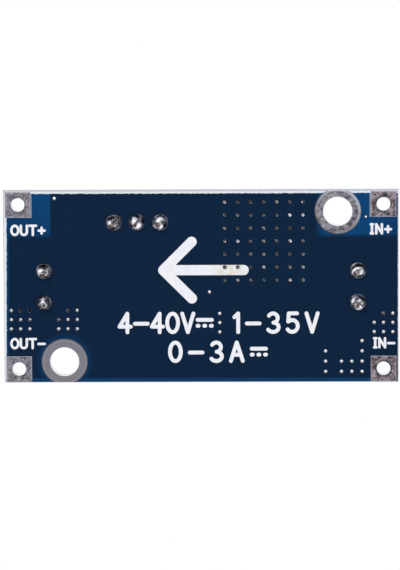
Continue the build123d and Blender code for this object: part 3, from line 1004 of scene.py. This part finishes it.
class CONVERTER_OT_printing(ConverterOperator, bpy.types.Operator):
    """Print the arrow, the labels and the ratings on both faces"""

    bl_idname = "converter.printing"
    bl_label = "Printing"

    def execute(self, context):
        settings = context.scene.converter_print
        ink = self.ink(settings)
        arrow = make_piece("underside_arrow", self.arrow(settings), ink)
        self.notch(context, arrow, settings)
        make_piece("underside_ratings", self.ratings(settings), ink)
        make_piece("underside_labels", self.labels(settings, under=True), ink)
        make_piece("upper_labels", self.labels(settings, under=False), ink)
        make_piece("upper_outlines", self.outlines(settings), ink)
        return {"FINISHED"}

    def ink(self, settings):
        """White ink with a faint cloud, yellowed a little near the arrow's tail."""
        finish = Finish("white_ink", settings.colour, roughness=0.55, specular=0.2)
        cloud = finish.noise(0.6)
        base = finish.mix(cloud, shade(settings.colour, 0.86), shade(settings.colour, 1.12))
        near_tail = finish.distance(ARROW_TAIL + 1.5, ARROW_LINE - 0.23).under(1.6, 1.6)
        stain = near_tail * finish.noise(0.5).over(0.45, 0.2)
        finish.paint(finish.mix(stain * 0.55, base, (0.62, 0.60, 0.40)))
        finish.relief(finish.noise(0.12), 0.006)
        return finish.material

    def underside(self, surfaces, x, y):
        """Carries strokes to the underside, where the reader's right is -X."""
        return placed(surfaces, (x, y, PRINT_SUNK), right=(-1, 0, 0))

    def arrow(self, settings):
        """A shaft and two arms of one width, which meet at the tip."""
        tip = (-ARROW_TIP, ARROW_LINE)
        ends = (
            (-ARROW_TAIL, ARROW_LINE),
            (ARROW_ARM - ARROW_TIP, ARROW_LINE + ARROW_ARM),
            (ARROW_ARM - ARROW_TIP, ARROW_LINE - ARROW_ARM),
        )
        strokes = [
            stroke(np.array([tip, end]) * MM, settings.arrow_stroke, settings.thickness, level, 10)
            for level, end in enumerate(ends)
        ]
        return self.underside(strokes, 0, 0)

    def notch(self, context, arrow, settings):
        """Cuts the arrow's ink where heat vias open under it."""
        radius, depth = 0.235 * MM, 0.1 * MM
        profile = [(0, -depth), (radius, -depth), (radius, depth), (0, depth)]
        inked = [(x, y, 0.0) for x, y in HEAT_GRID if self.inked(x, y, settings)]
        drills = [turned(profile, place, 12) for place in inked]
        drill = make_piece("drills", drills, arrow.data.materials[0])
        cut = arrow.modifiers.new("vias", "BOOLEAN")
        cut.object = drill
        cut.solver = "EXACT"
        cut.use_self = True
        graph = context.evaluated_depsgraph_get()
        mesh = bpy.data.meshes.new_from_object(arrow.evaluated_get(graph))
        arrow.modifiers.clear()
        arrow.data = mesh
        mesh.shade_flat()
        bpy.data.objects.remove(drill)

    def inked(self, x, y, settings):
        """Whether a via opens under the arrow's shaft."""
        reach = settings.arrow_stroke / 2 + 0.2 * MM
        return x > ARROW_TAIL * MM - reach and abs(y - ARROW_LINE * MM) < reach

    def line(self, row, height, width, thickness, under=True):
        """A line of print that fills its length, on the underside or on the upper face, where it
        starts at its other end."""
        text, start, end, foot = row
        half = width / 2
        figures = lettering(text, height, width, thickness, (start - end) * MM - width)
        if under:
            return self.underside(figures, start * MM - half, foot * MM + half)
        return placed(figures, (end * MM + half, foot * MM + half, TOP - PRINT_SUNK))

    def ratings(self, settings):
        """Plain ratings in two lines, with the sign for direct current."""
        look = (settings.rating_height, settings.rating_stroke, settings.thickness)
        return sum((self.line(row, *look) for row in RATINGS), [])

    def labels(self, settings, under):
        """The terminals' names with their signs, on one of the faces, finer on the upper one."""
        width = settings.label_stroke * (1 if under else 0.75)
        look = (settings.label_height, width, settings.thickness)
        return sum((self.line(row, *look, under) for row in LABELS), [])

    def outlines(self, settings):
        """Component outlines on the upper face: rings round the capacitors and frames round the
        rest."""
        width, ring = 0.16 * MM, 4.2
        paths = []
        for end in ("input", "output"):
            middle = centre(f"{end}_capacitor_can") / MM
            paths.append(arc(middle.x, middle.y, ring, ring, 0, 360, 72))
        for node, margin in FRAMED.items():
            low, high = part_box(node)
            x0, y0 = low.x / MM - margin, low.y / MM - margin
            x1, y1 = high.x / MM + margin, high.y / MM + margin
            corners = [(x0, y0), (x1, y0), (x1, y1), (x0, y1), (x0, y0)]
            paths += list(zip(corners[:-1], corners[1:]))
        flat = [
            stroke(np.asarray(path) * MM, width, settings.thickness, number % LEVELS)
            for number, path in enumerate(paths)
        ]
        return placed(flat, (0, 0, TOP - PRINT_SUNK))


# Groups of soldered leads in millimetres: the end of their solid's name, the leads' radius, a
# step along and across the board, and how many steps each lead is off the group's middle
LEADS = {
    "input_capacitor": ("leads", 0.3, (0, 1.75), (-1, 1)),
    "output_capacitor": ("leads", 0.3, (0, 1.75), (-1, 1)),
    "trimmer": ("pins", 0.25, (2.54, 0), (-1, 0, 1)),
}


class CONVERTER_OT_soldering(ConverterOperator, bpy.types.Operator):
    """Make the soldered joints, the cut leads and the solder drawn into the heat vias"""

    bl_idname = "converter.soldering"
    bl_label = "Solder and leads"

    def execute(self, context):
        settings = context.scene.converter_solder
        solder = self.solder(settings)
        wire = self.wire_finish()
        seed = 0
        for name, (kind, radius, (dx, dy), steps) in LEADS.items():
            middle = centre(f"{name}_solder_joints")
            low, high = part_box(f"{name}_{kind}")
            joints, wires = [], []
            for step in steps:
                place = (middle.x + step * dx * MM, middle.y + step * dy * MM, 0.0)
                joints.append(self.joint(settings, place, radius * MM, seed))
                wires.append(self.wire(place, radius * MM, low.z, high.z, seed))
                seed += 1
            piece = make_piece(f"{name}_joints", joints, solder)
            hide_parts(f"{name}_solder_joints")
            piece = make_piece(f"{name}_wires", wires, wire)
            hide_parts(f"{name}_{kind}")
        make_piece("heat_via_solder", self.plugs(), self.plug_finish(settings))
        mask = grained("via_mask", (0.006, 0.02, 0.05), 0.2, 0.2, 0.004, 0.4, specular=0.2)
        make_piece("tented_via", self.tent(), mask)
        return {"FINISHED"}

    def solder(self, settings):
        """Bright solder, clouded in places with dark and bright patches that are painted
        reflections and painted highlights, painted dark near the board as a reflection of the mask,
        with dark brown flux left in patches."""
        finish = Finish("bright_solder", settings.colour, roughness=0.2, metallic=1.0)
        cloud = finish.noise(0.7, 1.0)
        streak = finish.noise(0.28, 1.0)
        flux = finish.noise(0.55, 1.0).over(0.6, 0.05)
        # Painted highlights and painted dark reflections over the dome
        share = ((cloud - 0.5) * 3.2 + (streak - 0.5) * 0.9 + 0.46).clamped()
        body = finish.mix(share, shade(settings.colour, 0.14), shade(settings.colour, 1.95))
        # Painted reflection of the dark mask: darker near the board
        foot = finish.z.over(-0.1, 0.08) * 0.65
        body = finish.mix(foot, body, shade(settings.colour, 0.12))
        finish.paint(finish.mix(flux * 0.8, body, (0.030, 0.018, 0.020)))
        finish.drive("Roughness", cloud * 0.6 + 0.06)
        finish.relief(cloud + streak * 0.2, 0.05)
        return finish.material

    def lean(self, surface, seed):
        """Bends a lead sideways below the board: the shift grows as the depth to the power of one
        and a half, the way a cutter pushes the leads over, and differs a little from lead to
        lead."""
        points, faces = surface
        push, uneven = np.array([0.17, -0.24]) * MM, 0.07
        depth = np.clip(-points[:, 2:] / LEAD_DEPTH, 0, 1) ** 1.5
        wander = np.random.default_rng(seed).uniform(-uneven, uneven, 2) * MM
        moved = points[:, :2] + (push + wander) * depth
        return np.hstack([moved, points[:, 2:]]), faces

    def joint(self, settings, place, lead, seed):
        """A solder joint: a thin foot wets the land and dies away with the depth, and a dome closes
        on the lead as the root of one less a power of the depth, which differs from joint to
        joint. Two slow waves round the axis make it uneven."""
        share = 1 - (1 - np.linspace(0, 1, 40)) ** 1.6
        power = 2.0 + 0.8 * np.sin(1.9 * seed + 0.6)
        width = settings.radius * (0.95 + 0.04 * np.cos(1.3 * seed))
        neck = 0.8 * lead / width
        skirt = 0.09 + 0.03 * np.sin(2.3 * seed)
        dome = neck + (1 - skirt - neck) * np.sqrt(1 - share**power)
        radius = width * (skirt * np.exp(-share / 0.04) + dome)
        sunk = 0.02 * MM
        foot = [(0.0, sunk), (width, sunk)]
        side = np.column_stack([radius, -settings.height * share])
        profile = np.vstack([foot, side, [(0.0, -settings.height)]])
        phase = 2.4 * seed

        def bulge(angle, height):
            depth = np.clip(-height / settings.height, 0, 1)
            slow = np.sin(2 * angle + phase) + 0.6 * np.sin(3 * angle - 1.7 * phase)
            return 1 + settings.ripple * slow * (0.25 + depth * (1 - depth) * 5)

        return self.lean(turned(profile, place, 48, bulge), seed)

    def wire(self, place, radius, low, high, seed):
        """A round lead with a rounded cut end."""
        end = [(0.0, low), (radius * 0.7, low), (radius * 0.93, low + 0.02 * MM)]
        levels = np.linspace(low + 0.05 * MM, 0.1 * MM, 12)
        side = np.column_stack([np.full_like(levels, radius), levels])
        top = [(radius, high), (0.0, high)]
        return self.lean(turned(np.vstack([end, side, top]), place, 24), seed)

    def wire_finish(self):
        """Tinned wire whose cut end is dull and dark."""
        finish = Finish("tinned_wire", (0.52, 0.50, 0.48), roughness=0.3, metallic=1.0)
        cloud = finish.noise(0.3)
        tinned = finish.mix(cloud, (0.36, 0.34, 0.33), (0.66, 0.64, 0.62))
        cut = finish.z.under(0.035 - LEAD_DEPTH / MM, 0.02)
        smear = ((finish.noise(0.24, 1.0) - 0.5) * 3.5 + 0.4).clamped()
        end = finish.mix(smear, (0.022, 0.013, 0.013), (0.34, 0.31, 0.31))
        finish.paint(finish.mix(cut, tinned, end))
        finish.drive("Roughness", cut * 0.2 + cloud * 0.2 + 0.2)
        finish.relief(cloud, 0.02)
        return finish.material

    def plug_finish(self, settings):
        """Solder seen down a via: painted mostly dark, as the shade down the hole, with a painted
        glint in one via out of a few.
        """
        finish = Finish("via_solder", settings.colour, roughness=0.3, metallic=1.0)
        # Painted glints in a few vias and painted shade in the rest
        bright = finish.cells(HEAT_PITCH / MM).math("POWER", 5.0)
        patch = finish.noise(0.25)
        share = (bright * 1.3 + patch * 0.4 - 0.17).clamped()
        finish.paint(finish.mix(share, (0.020, 0.024, 0.024), shade(settings.colour, 1.8)))
        finish.relief(patch, 0.06)
        return finish.material

    def plugs(self):
        """A dished drop of solder in each heat via, at its own depth."""
        level = np.random.default_rng(7).uniform(0.08 * MM, 0.35 * MM, len(HEAT_GRID))
        radius, dip, back = 0.2 * MM, 0.06 * MM, 0.15 * MM
        share = np.linspace(0, 1, 5)
        dish = np.column_stack([radius * share, -dip * share**2])
        profile = np.vstack([dish, [(radius, back), (0.0, back)]])
        return [turned(profile, (x, y, depth), 10) for (x, y), depth in zip(HEAT_GRID, level)]

    def tent(self):
        """A ring of mask that all but closes a via: thicker at the wall than at its hole."""
        hole = 0.11 * MM
        profile = [(hole, 0.06), (VIA_OUTER, 0.03), (VIA_OUTER, 0.12), (hole, 0.09)]
        profile = [(radius, level * MM) for radius, level in profile]
        return [turned(profile + profile[:1], (*TENTED_VIA, 0.0), 12)]


# Radius of the can's shoulder, how far the crossed scores reach from the middle of its top, and
# half their width
SHOULDER = 0.6 * MM
SCORE_REACH = 2.7 * MM
SCORE_HALF = 0.11 * MM

# Sides of the can and of its sleeve
CAN_SIDES = 96


class CONVERTER_OT_capacitors(ConverterOperator, bpy.types.Operator):
    """Make the drawn cans with their scored tops and the printed sleeves round them"""

    bl_idname = "converter.capacitors"
    bl_label = "Capacitors"

    def execute(self, context):
        settings = context.scene.converter_sleeve
        metal = self.can_finish()
        rubber = grained("bung_rubber", (0.02, 0.02, 0.02), 0.4, 0.2, 0.01, 0.7)
        sleeve = self.sleeve_finish(settings)
        ink = grained("sleeve_figures", (0.62, 0.63, 0.62), 0.5, 0.1, 0.002)
        dress(["input_capacitor_bung", "output_capacitor_bung"], rubber)
        for end in ("input", "output"):
            can = make_piece(f"{end}_can", self.can(settings, end), metal, sharp=50)
            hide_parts(f"{end}_capacitor_can")
            make_piece(f"{end}_sleeve", self.sleeve(settings, end), sleeve)
            make_piece(f"{end}_sleeve_figures", self.figures(settings, end), ink)
        return {"FINISHED"}

    def from_axis(self, finish):
        """Step along the board from the nearer can's axis. Both cans share a finish, because they
        stand as far from the board's middle."""
        return abs(finish.x) - centre("output_capacitor_can").x / MM

    def can_finish(self):
        """Drawn aluminium with fine circular tool marks, painted darker along the crossed scores as
        shade in the grooves.
        """
        finish = Finish("drawn_aluminium", (0.60, 0.61, 0.63), roughness=0.3, metallic=1.0)
        along = self.from_axis(finish)
        reach = along.hypotenuse(finish.y)
        across = abs(along + finish.y).least(abs(along - finish.y)) * (1 / np.sqrt(2))
        score = across.under(SCORE_HALF / MM, 0.1) * reach.under(SCORE_REACH / MM, 0.15)
        cloud = finish.noise(0.9, 3.0)
        body = finish.mix(cloud, (0.42, 0.43, 0.45), (0.76, 0.77, 0.79))
        # Painted shade in the score grooves
        finish.paint(finish.mix(score * 0.85, body, (0.07, 0.07, 0.075)))
        finish.drive("Roughness", cloud * 0.2 + score * 0.35 + 0.2)
        finish.relief(reach.waves(0.17) * 0.2 + cloud, 0.006)
        return finish.material

    def outline(self, settings, end):
        """Half profile of the can, from its rolled foot over the groove to a little under its
        shoulder, with its radius and height. Its top is lower than the solid's by the sleeve's
        thickness."""
        size = piece_size(f"{end}_capacitor_can")
        radius, height = size.x / 2, size.z - settings.thickness
        corners = [
            (3.3 * MM, 0.0),
            (radius, 0.0),
            (radius, 1.4 * MM),
            (radius - 0.35 * MM, 1.9 * MM),
            (radius, 2.4 * MM),
            (radius, height),
        ]
        side = rounded_profile(corners, 0.45 * MM, 7)
        return side[side[:, 1] < height - SHOULDER - 0.1 * MM], radius, height

    def shoulder(self, radius, height, offset=0.0):
        """Quarter circle from the can's wall to its top, moved outwards by the offset."""
        bend = np.radians(np.linspace(0, 90, 8))
        reach = SHOULDER + offset
        outwards = radius - SHOULDER + reach * np.cos(bend)
        return np.column_stack([outwards, height - SHOULDER + reach * np.sin(bend)])

    def can(self, settings, end):
        """Drawn can: its profile is turned about its axis, and its top is a disc of rings whose
        height falls along two crossed score lines."""
        middle = centre(f"{end}_capacitor_can")
        side, radius, height = self.outline(settings, end)
        profile = np.vstack([side, self.shoulder(radius, height)])
        wall = turned(profile, (middle.x, middle.y, TOP), CAN_SIDES)
        angle = circle(CAN_SIDES)
        reach = np.linspace(radius - SHOULDER, 0, 40)[:, None]
        x, y = reach * np.cos(angle), reach * np.sin(angle)
        across = np.minimum(np.abs(x + y), np.abs(x - y)) / np.sqrt(2)
        depth, run_out = 0.035 * MM, 0.12 * MM
        within = 1 / (1 + np.exp((reach - SCORE_REACH) / run_out))
        score = depth * np.exp(-((across / SCORE_HALF) ** 2)) * within
        top = np.stack([middle.x + x, middle.y + y, TOP + height - score], -1)
        return [wall, ringed(top)]

    def sleeve(self, settings, end):
        """Shrunk sleeve: the can's profile moved outwards by the sleeve's thickness, turned over
        the shoulder to a lip on the top and in under the foot, and closed by the same profile
        moved inwards."""
        middle = centre(f"{end}_capacitor_can")
        side, radius, height = self.outline(settings, end)
        wall = side[side[:, 1] > 0]

        def skin(offset):
            foot = [(radius - 0.5 * MM, 0.1 * MM - offset)]
            lip = [(radius - settings.lip, height + offset)]
            return np.vstack(
                [foot, wall + (offset, 0), self.shoulder(radius, height, offset), lip]
            )

        outer, inner = skin(settings.thickness), skin(-0.01 * MM)
        profile = np.vstack([outer, inner[::-1], outer[:1]])
        return [turned(profile, (middle.x, middle.y, TOP), CAN_SIDES)]

    def sleeve_finish(self, settings):
        """Dark film with a pale stripe down the negative side and a row of minus signs on it."""
        finish = Finish("sleeve_film", settings.colour, roughness=0.3, specular=0.45)
        from_stripe = abs(finish.y.math("ARCTAN2", self.from_axis(finish)) + np.pi / 2)
        stripe = from_stripe.under(0.42, 0.01)
        pitch, lowest, highest = 2.2, 4.2, 13.0
        row = abs((finish.z * (1 / pitch)).math("FRACT") - 0.5).under(0.1, 0.01)
        mark = row * from_stripe.under(0.2, 0.01) * finish.z.between(lowest, highest)
        cloud = finish.noise(1.2)
        film = finish.mix(cloud, shade(settings.colour, 0.7), shade(settings.colour, 1.4))
        film = finish.mix(stripe, film, settings.stripe)
        finish.paint(finish.mix(mark * stripe, film, settings.colour))
        finish.drive("Roughness", cloud * 0.14 + 0.24)
        finish.relief(finish.noise(0.9, stretch=(1, 1, 3)), 0.02)
        return finish.material

    def figures(self, settings, end):
        """Plain figures for the value and the voltage, set round the sleeve on two sides."""
        node = f"{end}_capacitor_can"
        radius = piece_size(node).x / 2 + settings.thickness
        height, width, thickness = 1.5 * MM, 0.2 * MM, 0.01 * MM
        carried = []
        for text, base in (("220", 8.6 * MM), ("35V", 6.2 * MM)):
            row = lettering(text, height, width, thickness, step=0.2 * MM)
            for facing in np.radians([35, 200]):
                start = facing - row_length(row) / 2 / radius
                carried += wrapped(row, centre(node), radius, start, TOP + base)
        return carried


class CONVERTER_OT_semiconductors(ConverterOperator, bpy.types.Operator):
    """Finish the regulator and the diode, and add the solder of all surface-mounted leads"""

    bl_idname = "converter.semiconductors"
    bl_label = "Regulator and diode"

    def execute(self, context):
        epoxy = grained(
            "moulded_epoxy", (0.022, 0.022, 0.024), 0.3, 0.2, 0.012, 0.55, specular=0.35
        )
        tab = grained("tinned_tab", (0.62, 0.61, 0.60), 0.8, 0.12, 0.004, 0.36, metallic=1.0)
        lead = grained("tinned_lead", (0.60, 0.59, 0.58), 0.6, 0.14, 0.004, 0.3, metallic=1.0)
        mark = grained("laser_mark", (0.30, 0.30, 0.30), 0.3, 0.15, 0.002, 0.6)
        run = shade(context.scene.converter_solder.colour, 1.2)
        solder = grained("land_solder", run, 0.5, 0.2, 0.02, 0.28, metallic=1.0)
        softened("regulator_case", epoxy, 0.1 * MM)
        softened("diode_case", epoxy, 0.07 * MM)
        softened("regulator_tab", tab, 0.08 * MM)
        softened("regulator_leads", lead, 0.07 * MM)
        softened("diode_leads", lead, 0.04 * MM)
        make_piece("regulator_figures", self.regulator_figures(), mark)
        make_piece("diode_band", self.diode_band(), mark)
        make_piece("solder_lands", self.lands(), solder)
        return {"FINISHED"}

    def regulator_figures(self):
        """Two lines of plain figures on the case."""
        middle = centre("regulator_case")
        level = top_of("regulator_case") - FIGURE_SUNK
        span = 5.2 * MM
        rows = []
        for text, base in (("0123", 1.0 * MM), ("5-40", -1.3 * MM)):
            row = lettering(text, 1.35 * MM, 0.17 * MM, span=span)
            rows += placed(row, (middle.x - span / 2, middle.y + base, level))
        return rows

    def diode_band(self):
        """A pale band across the case over its cathode, and two figures."""
        middle = centre("diode_case")
        level = top_of("diode_case") - FIGURE_SUNK
        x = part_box("diode_case")[0].x + 0.95 * MM
        reach = 1.45 * MM
        ends = [(x, middle.y - reach), (x, middle.y + reach)]
        band = stroke(ends, 0.5 * MM, FIGURE_THICKNESS)
        row = lettering("34", 1.1 * MM, 0.16 * MM)
        figures = placed(row, (middle.x - 0.2 * MM, middle.y - 0.55 * MM, level))
        return placed([band], (0, 0, level)) + figures

    def lands(self):
        """Low cushions of solder round the surface-mounted leads."""
        # Each cushion's middle, in metres, then half its length, half its width and its height
        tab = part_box("regulator_tab")[1]
        cushions = [(centre("regulator_tab").x, tab.y - 1.0 * MM, 5.55, 1.45, 0.18)]
        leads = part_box("regulator_leads")[0]
        first, pitch, count = 0.4, 1.7, 5
        for number in range(count):
            x = leads.x + (first + pitch * number) * MM
            cushions.append((x, leads.y + 1.05 * MM, 0.55, 1.45, 0.14))
        for node, reach, width in (("diode_leads", 1.0, 1.25), ("coil_clips", 1.3, 2.7)):
            low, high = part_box(node)
            inset = (reach - 0.45) * MM
            for x in (low.x + inset, high.x - inset):
                cushions.append((x, centre(node).y, reach, width, 0.12))
        chip = centre("feedback_resistor_ends")
        for side in (-1, 1):
            cushions.append((chip.x, chip.y + side * 1.0 * MM, 0.75, 0.5, 0.2))
        return [self.cushion(*cushion) for cushion in cushions]

    def cushion(self, x, y, half_x, half_y, height):
        """Dome over a rounded rectangle, whose edge is the cosine and the sine raised to a low
        power. Its rings shrink to the middle, rising as the root of one less the fourth power of
        their share of the way out, and a point under the middle closes it."""
        angle, power = circle(40), 0.35
        edge_x = np.sign(np.cos(angle)) * np.abs(np.cos(angle)) ** power
        edge_y = np.sign(np.sin(angle)) * np.abs(np.sin(angle)) ** power
        shares = np.linspace(1, 0, 9)
        share = np.append(0.0, shares)[:, None]
        level = np.append(-0.02, height * np.sqrt(1 - shares**4))[:, None] * MM
        x = x + half_x * MM * share * edge_x
        y = y + half_y * MM * share * edge_y
        return ringed(np.stack(np.broadcast_arrays(x, y, TOP + level), -1))


class CONVERTER_OT_coil(ConverterOperator, bpy.types.Operator):
    """Finish the shielded coil: ferrite, copper, clips and dabs of glue"""

    bl_idname = "converter.coil"
    bl_label = "Coil"

    def execute(self, context):
        ferrite = grained("ferrite", (0.055, 0.055, 0.06), 0.35, 0.25, 0.015, 0.62, specular=0.35)
        clip = grained("tinned_clip", (0.66, 0.65, 0.64), 0.6, 0.14, 0.004, 0.5, metallic=1.0)
        glue = grained("set_glue", (0.42, 0.43, 0.42), 0.5, 0.1, 0.02, 0.4)
        figures = grained("coil_figures", (0.50, 0.50, 0.50), 0.3, 0.1, 0.002, 0.6)
        softened("coil_shield", ferrite, 0.12 * MM)
        softened("coil_drum", ferrite, 0.12 * MM)
        softened("coil_clips", clip, 0.05 * MM)
        dress(["coil_winding"], self.copper())
        make_piece("coil_glue", self.glue(), glue)
        make_piece("coil_drum_figures", self.figures(), figures)
        return {"FINISHED"}

    def copper(self):
        """Enamelled wire, its turns one above another, painted darker between the turns and paler
        on their crests as shade and highlight.
        """
        finish = Finish("enamelled_copper", (0.55, 0.22, 0.08), roughness=0.3, metallic=0.9)
        turns = finish.z.waves(0.55)
        # Painted shade between the turns and painted highlight on their crests
        finish.paint(finish.mix(turns * 0.5 + 0.5, (0.25, 0.08, 0.03), (0.62, 0.27, 0.10)))
        finish.relief(turns, 0.08)
        return finish.material

    def glue(self):
        """Four flattened dabs that bridge the drum and the shield: half ellipsoids whose edge
        wanders with two waves."""
        middle = centre("coil_drum")
        reach = piece_size("coil_drum").x / 2 + 0.25 * MM
        radius, lift = 0.8 * MM, 0.28 * MM
        angle = circle(36)
        rise = np.radians(np.append(-60, np.linspace(0, 90, 10)))[:, None]
        z = top_of("coil_shield") + lift * np.sin(rise)
        dabs = []
        for number in range(4):
            turn = np.radians(45 + 90 * number)
            wander = 1 + 0.12 * np.sin(2 * angle + number) + 0.08 * np.sin(3 * angle + 2 * number)
            out = radius * np.cos(rise) * wander
            along = 1.25 * out * np.sin(angle - turn)
            across = reach + 0.75 * out * np.cos(angle - turn)
            x = middle.x + across * np.cos(turn) - along * np.sin(turn)
            y = middle.y + across * np.sin(turn) + along * np.cos(turn)
            dabs.append(ringed(np.stack(np.broadcast_arrays(x, y, z), -1)))
        return dabs

    def figures(self):
        """The coil's value in plain figures on the drum."""
        middle = centre("coil_drum")
        height = 2.2 * MM
        row = lettering("470", height, 0.3 * MM)
        left, foot = middle.x - row_length(row) / 2, middle.y - height / 2
        return placed(row, (left, foot, top_of("coil_drum") - FIGURE_SUNK))


class CONVERTER_OT_trimmer(ConverterOperator, bpy.types.Operator):
    """Finish the trimmer with its brass screw, and the chip resistor beside it"""

    bl_idname = "converter.trimmer"
    bl_label = "Trimmer and chip"

    def execute(self, context):
        blue = grained("blue_moulding", (0.012, 0.085, 0.40), 1.5, 0.06, 0.002, 0.3)
        resin = grained("cast_resin", (0.06, 0.17, 0.36), 0.6, 0.2, 0.02)
        ink = grained("trimmer_figures", (0.72, 0.74, 0.78), 0.5, 0.08, 0.002)
        tin = grained("chip_tin", (0.60, 0.59, 0.58), 0.25, 0.12, 0.006, 0.3, metallic=1.0)
        glass = grained("chip_glass", (0.02, 0.02, 0.022), 0.4, 0.15, 0.003, 0.25)
        softened("trimmer_case", blue, 0.12 * MM)
        dress(["trimmer_seal"], resin)
        dress(["trimmer_adjuster"], self.brass())
        dress(["feedback_resistor_ends"], tin)
        dress(["feedback_resistor_body"], glass)
        make_piece("trimmer_figures", self.figures(), ink)
        make_piece("chip_figures", self.chip_figures(), ink)
        return {"FINISHED"}

    def brass(self):
        """Turned brass with fine rings about the screw's axis and a patina."""
        finish = Finish("turned_brass", (0.72, 0.50, 0.18), roughness=0.28, metallic=1.0)
        place = centre("trimmer_adjuster") / MM
        rings = finish.distance(place.x, place.y).waves(0.09)
        patina = finish.noise(0.5, 3.0)
        finish.paint(finish.mix(patina, (0.50, 0.32, 0.10), (0.85, 0.62, 0.26)))
        finish.relief(rings * 0.3 + patina, 0.01)
        return finish.material

    def figures(self):
        """The trimmer's value in plain figures on the side that faces the coil."""
        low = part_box("trimmer_case")[0]
        row = lettering("103", 1.7 * MM, 0.22 * MM)
        origin = (low.x + 1.2 * MM, low.y + FIGURE_SUNK, low.z + 5.4 * MM)
        return placed(row, origin, up=(0, 0, 1))

    def chip_figures(self):
        """The chip's value in plain figures along its body."""
        node = "feedback_resistor_body"
        middle = centre(node)
        height = 0.5 * MM
        row = lettering("331", height, 0.07 * MM)
        foot, left = middle.x + height / 2, middle.y - row_length(row) / 2
        origin = (foot, left, top_of(node) - FIGURE_SUNK)
        return placed(row, origin, right=(0, 1, 0), up=(-1, 0, 0))


class CONVERTER_PT_panel(bpy.types.Panel):
    """Lists the converter's settings and operators"""

    bl_idname = "CONVERTER_PT_panel"
    bl_label = "Converter board"
    bl_space_type = "VIEW_3D"
    bl_region_type = "UI"
    bl_category = "Converter"

    def draw(self, context):
        for operator in OPERATORS:
            self.layout.operator(operator.bl_idname)
        for name, group in SETTINGS.items():
            box = self.layout.box()
            settings = getattr(context.scene, name)
            for field in group.__annotations__:
                box.prop(settings, field)


OPERATORS = (
    CONVERTER_OT_stage,
    CONVERTER_OT_board,
    CONVERTER_OT_lands,
    CONVERTER_OT_printing,
    CONVERTER_OT_soldering,
    CONVERTER_OT_capacitors,
    CONVERTER_OT_semiconductors,
    CONVERTER_OT_coil,
    CONVERTER_OT_trimmer,
)
CLASSES = (*SETTINGS.values(), *OPERATORS, CONVERTER_PT_panel)


def register():
    """Register the settings, the operators and the panel."""
    for kind in CLASSES:
        bpy.utils.register_class(kind)
    for name, group in SETTINGS.items():
        setattr(bpy.types.Scene, name, PointerProperty(type=group))


def unregister():
    """Undo what register did."""
    for name in SETTINGS:
        delattr(bpy.types.Scene, name)
    for kind in reversed(CLASSES):
        bpy.utils.unregister_class(kind)


def main():
    """Make every piece in turn."""
    register()
    for operator in OPERATORS:
        group, name = operator.bl_idname.split(".")
        getattr(getattr(bpy.ops, group), name)()


if __name__ == "__main__":
    main()
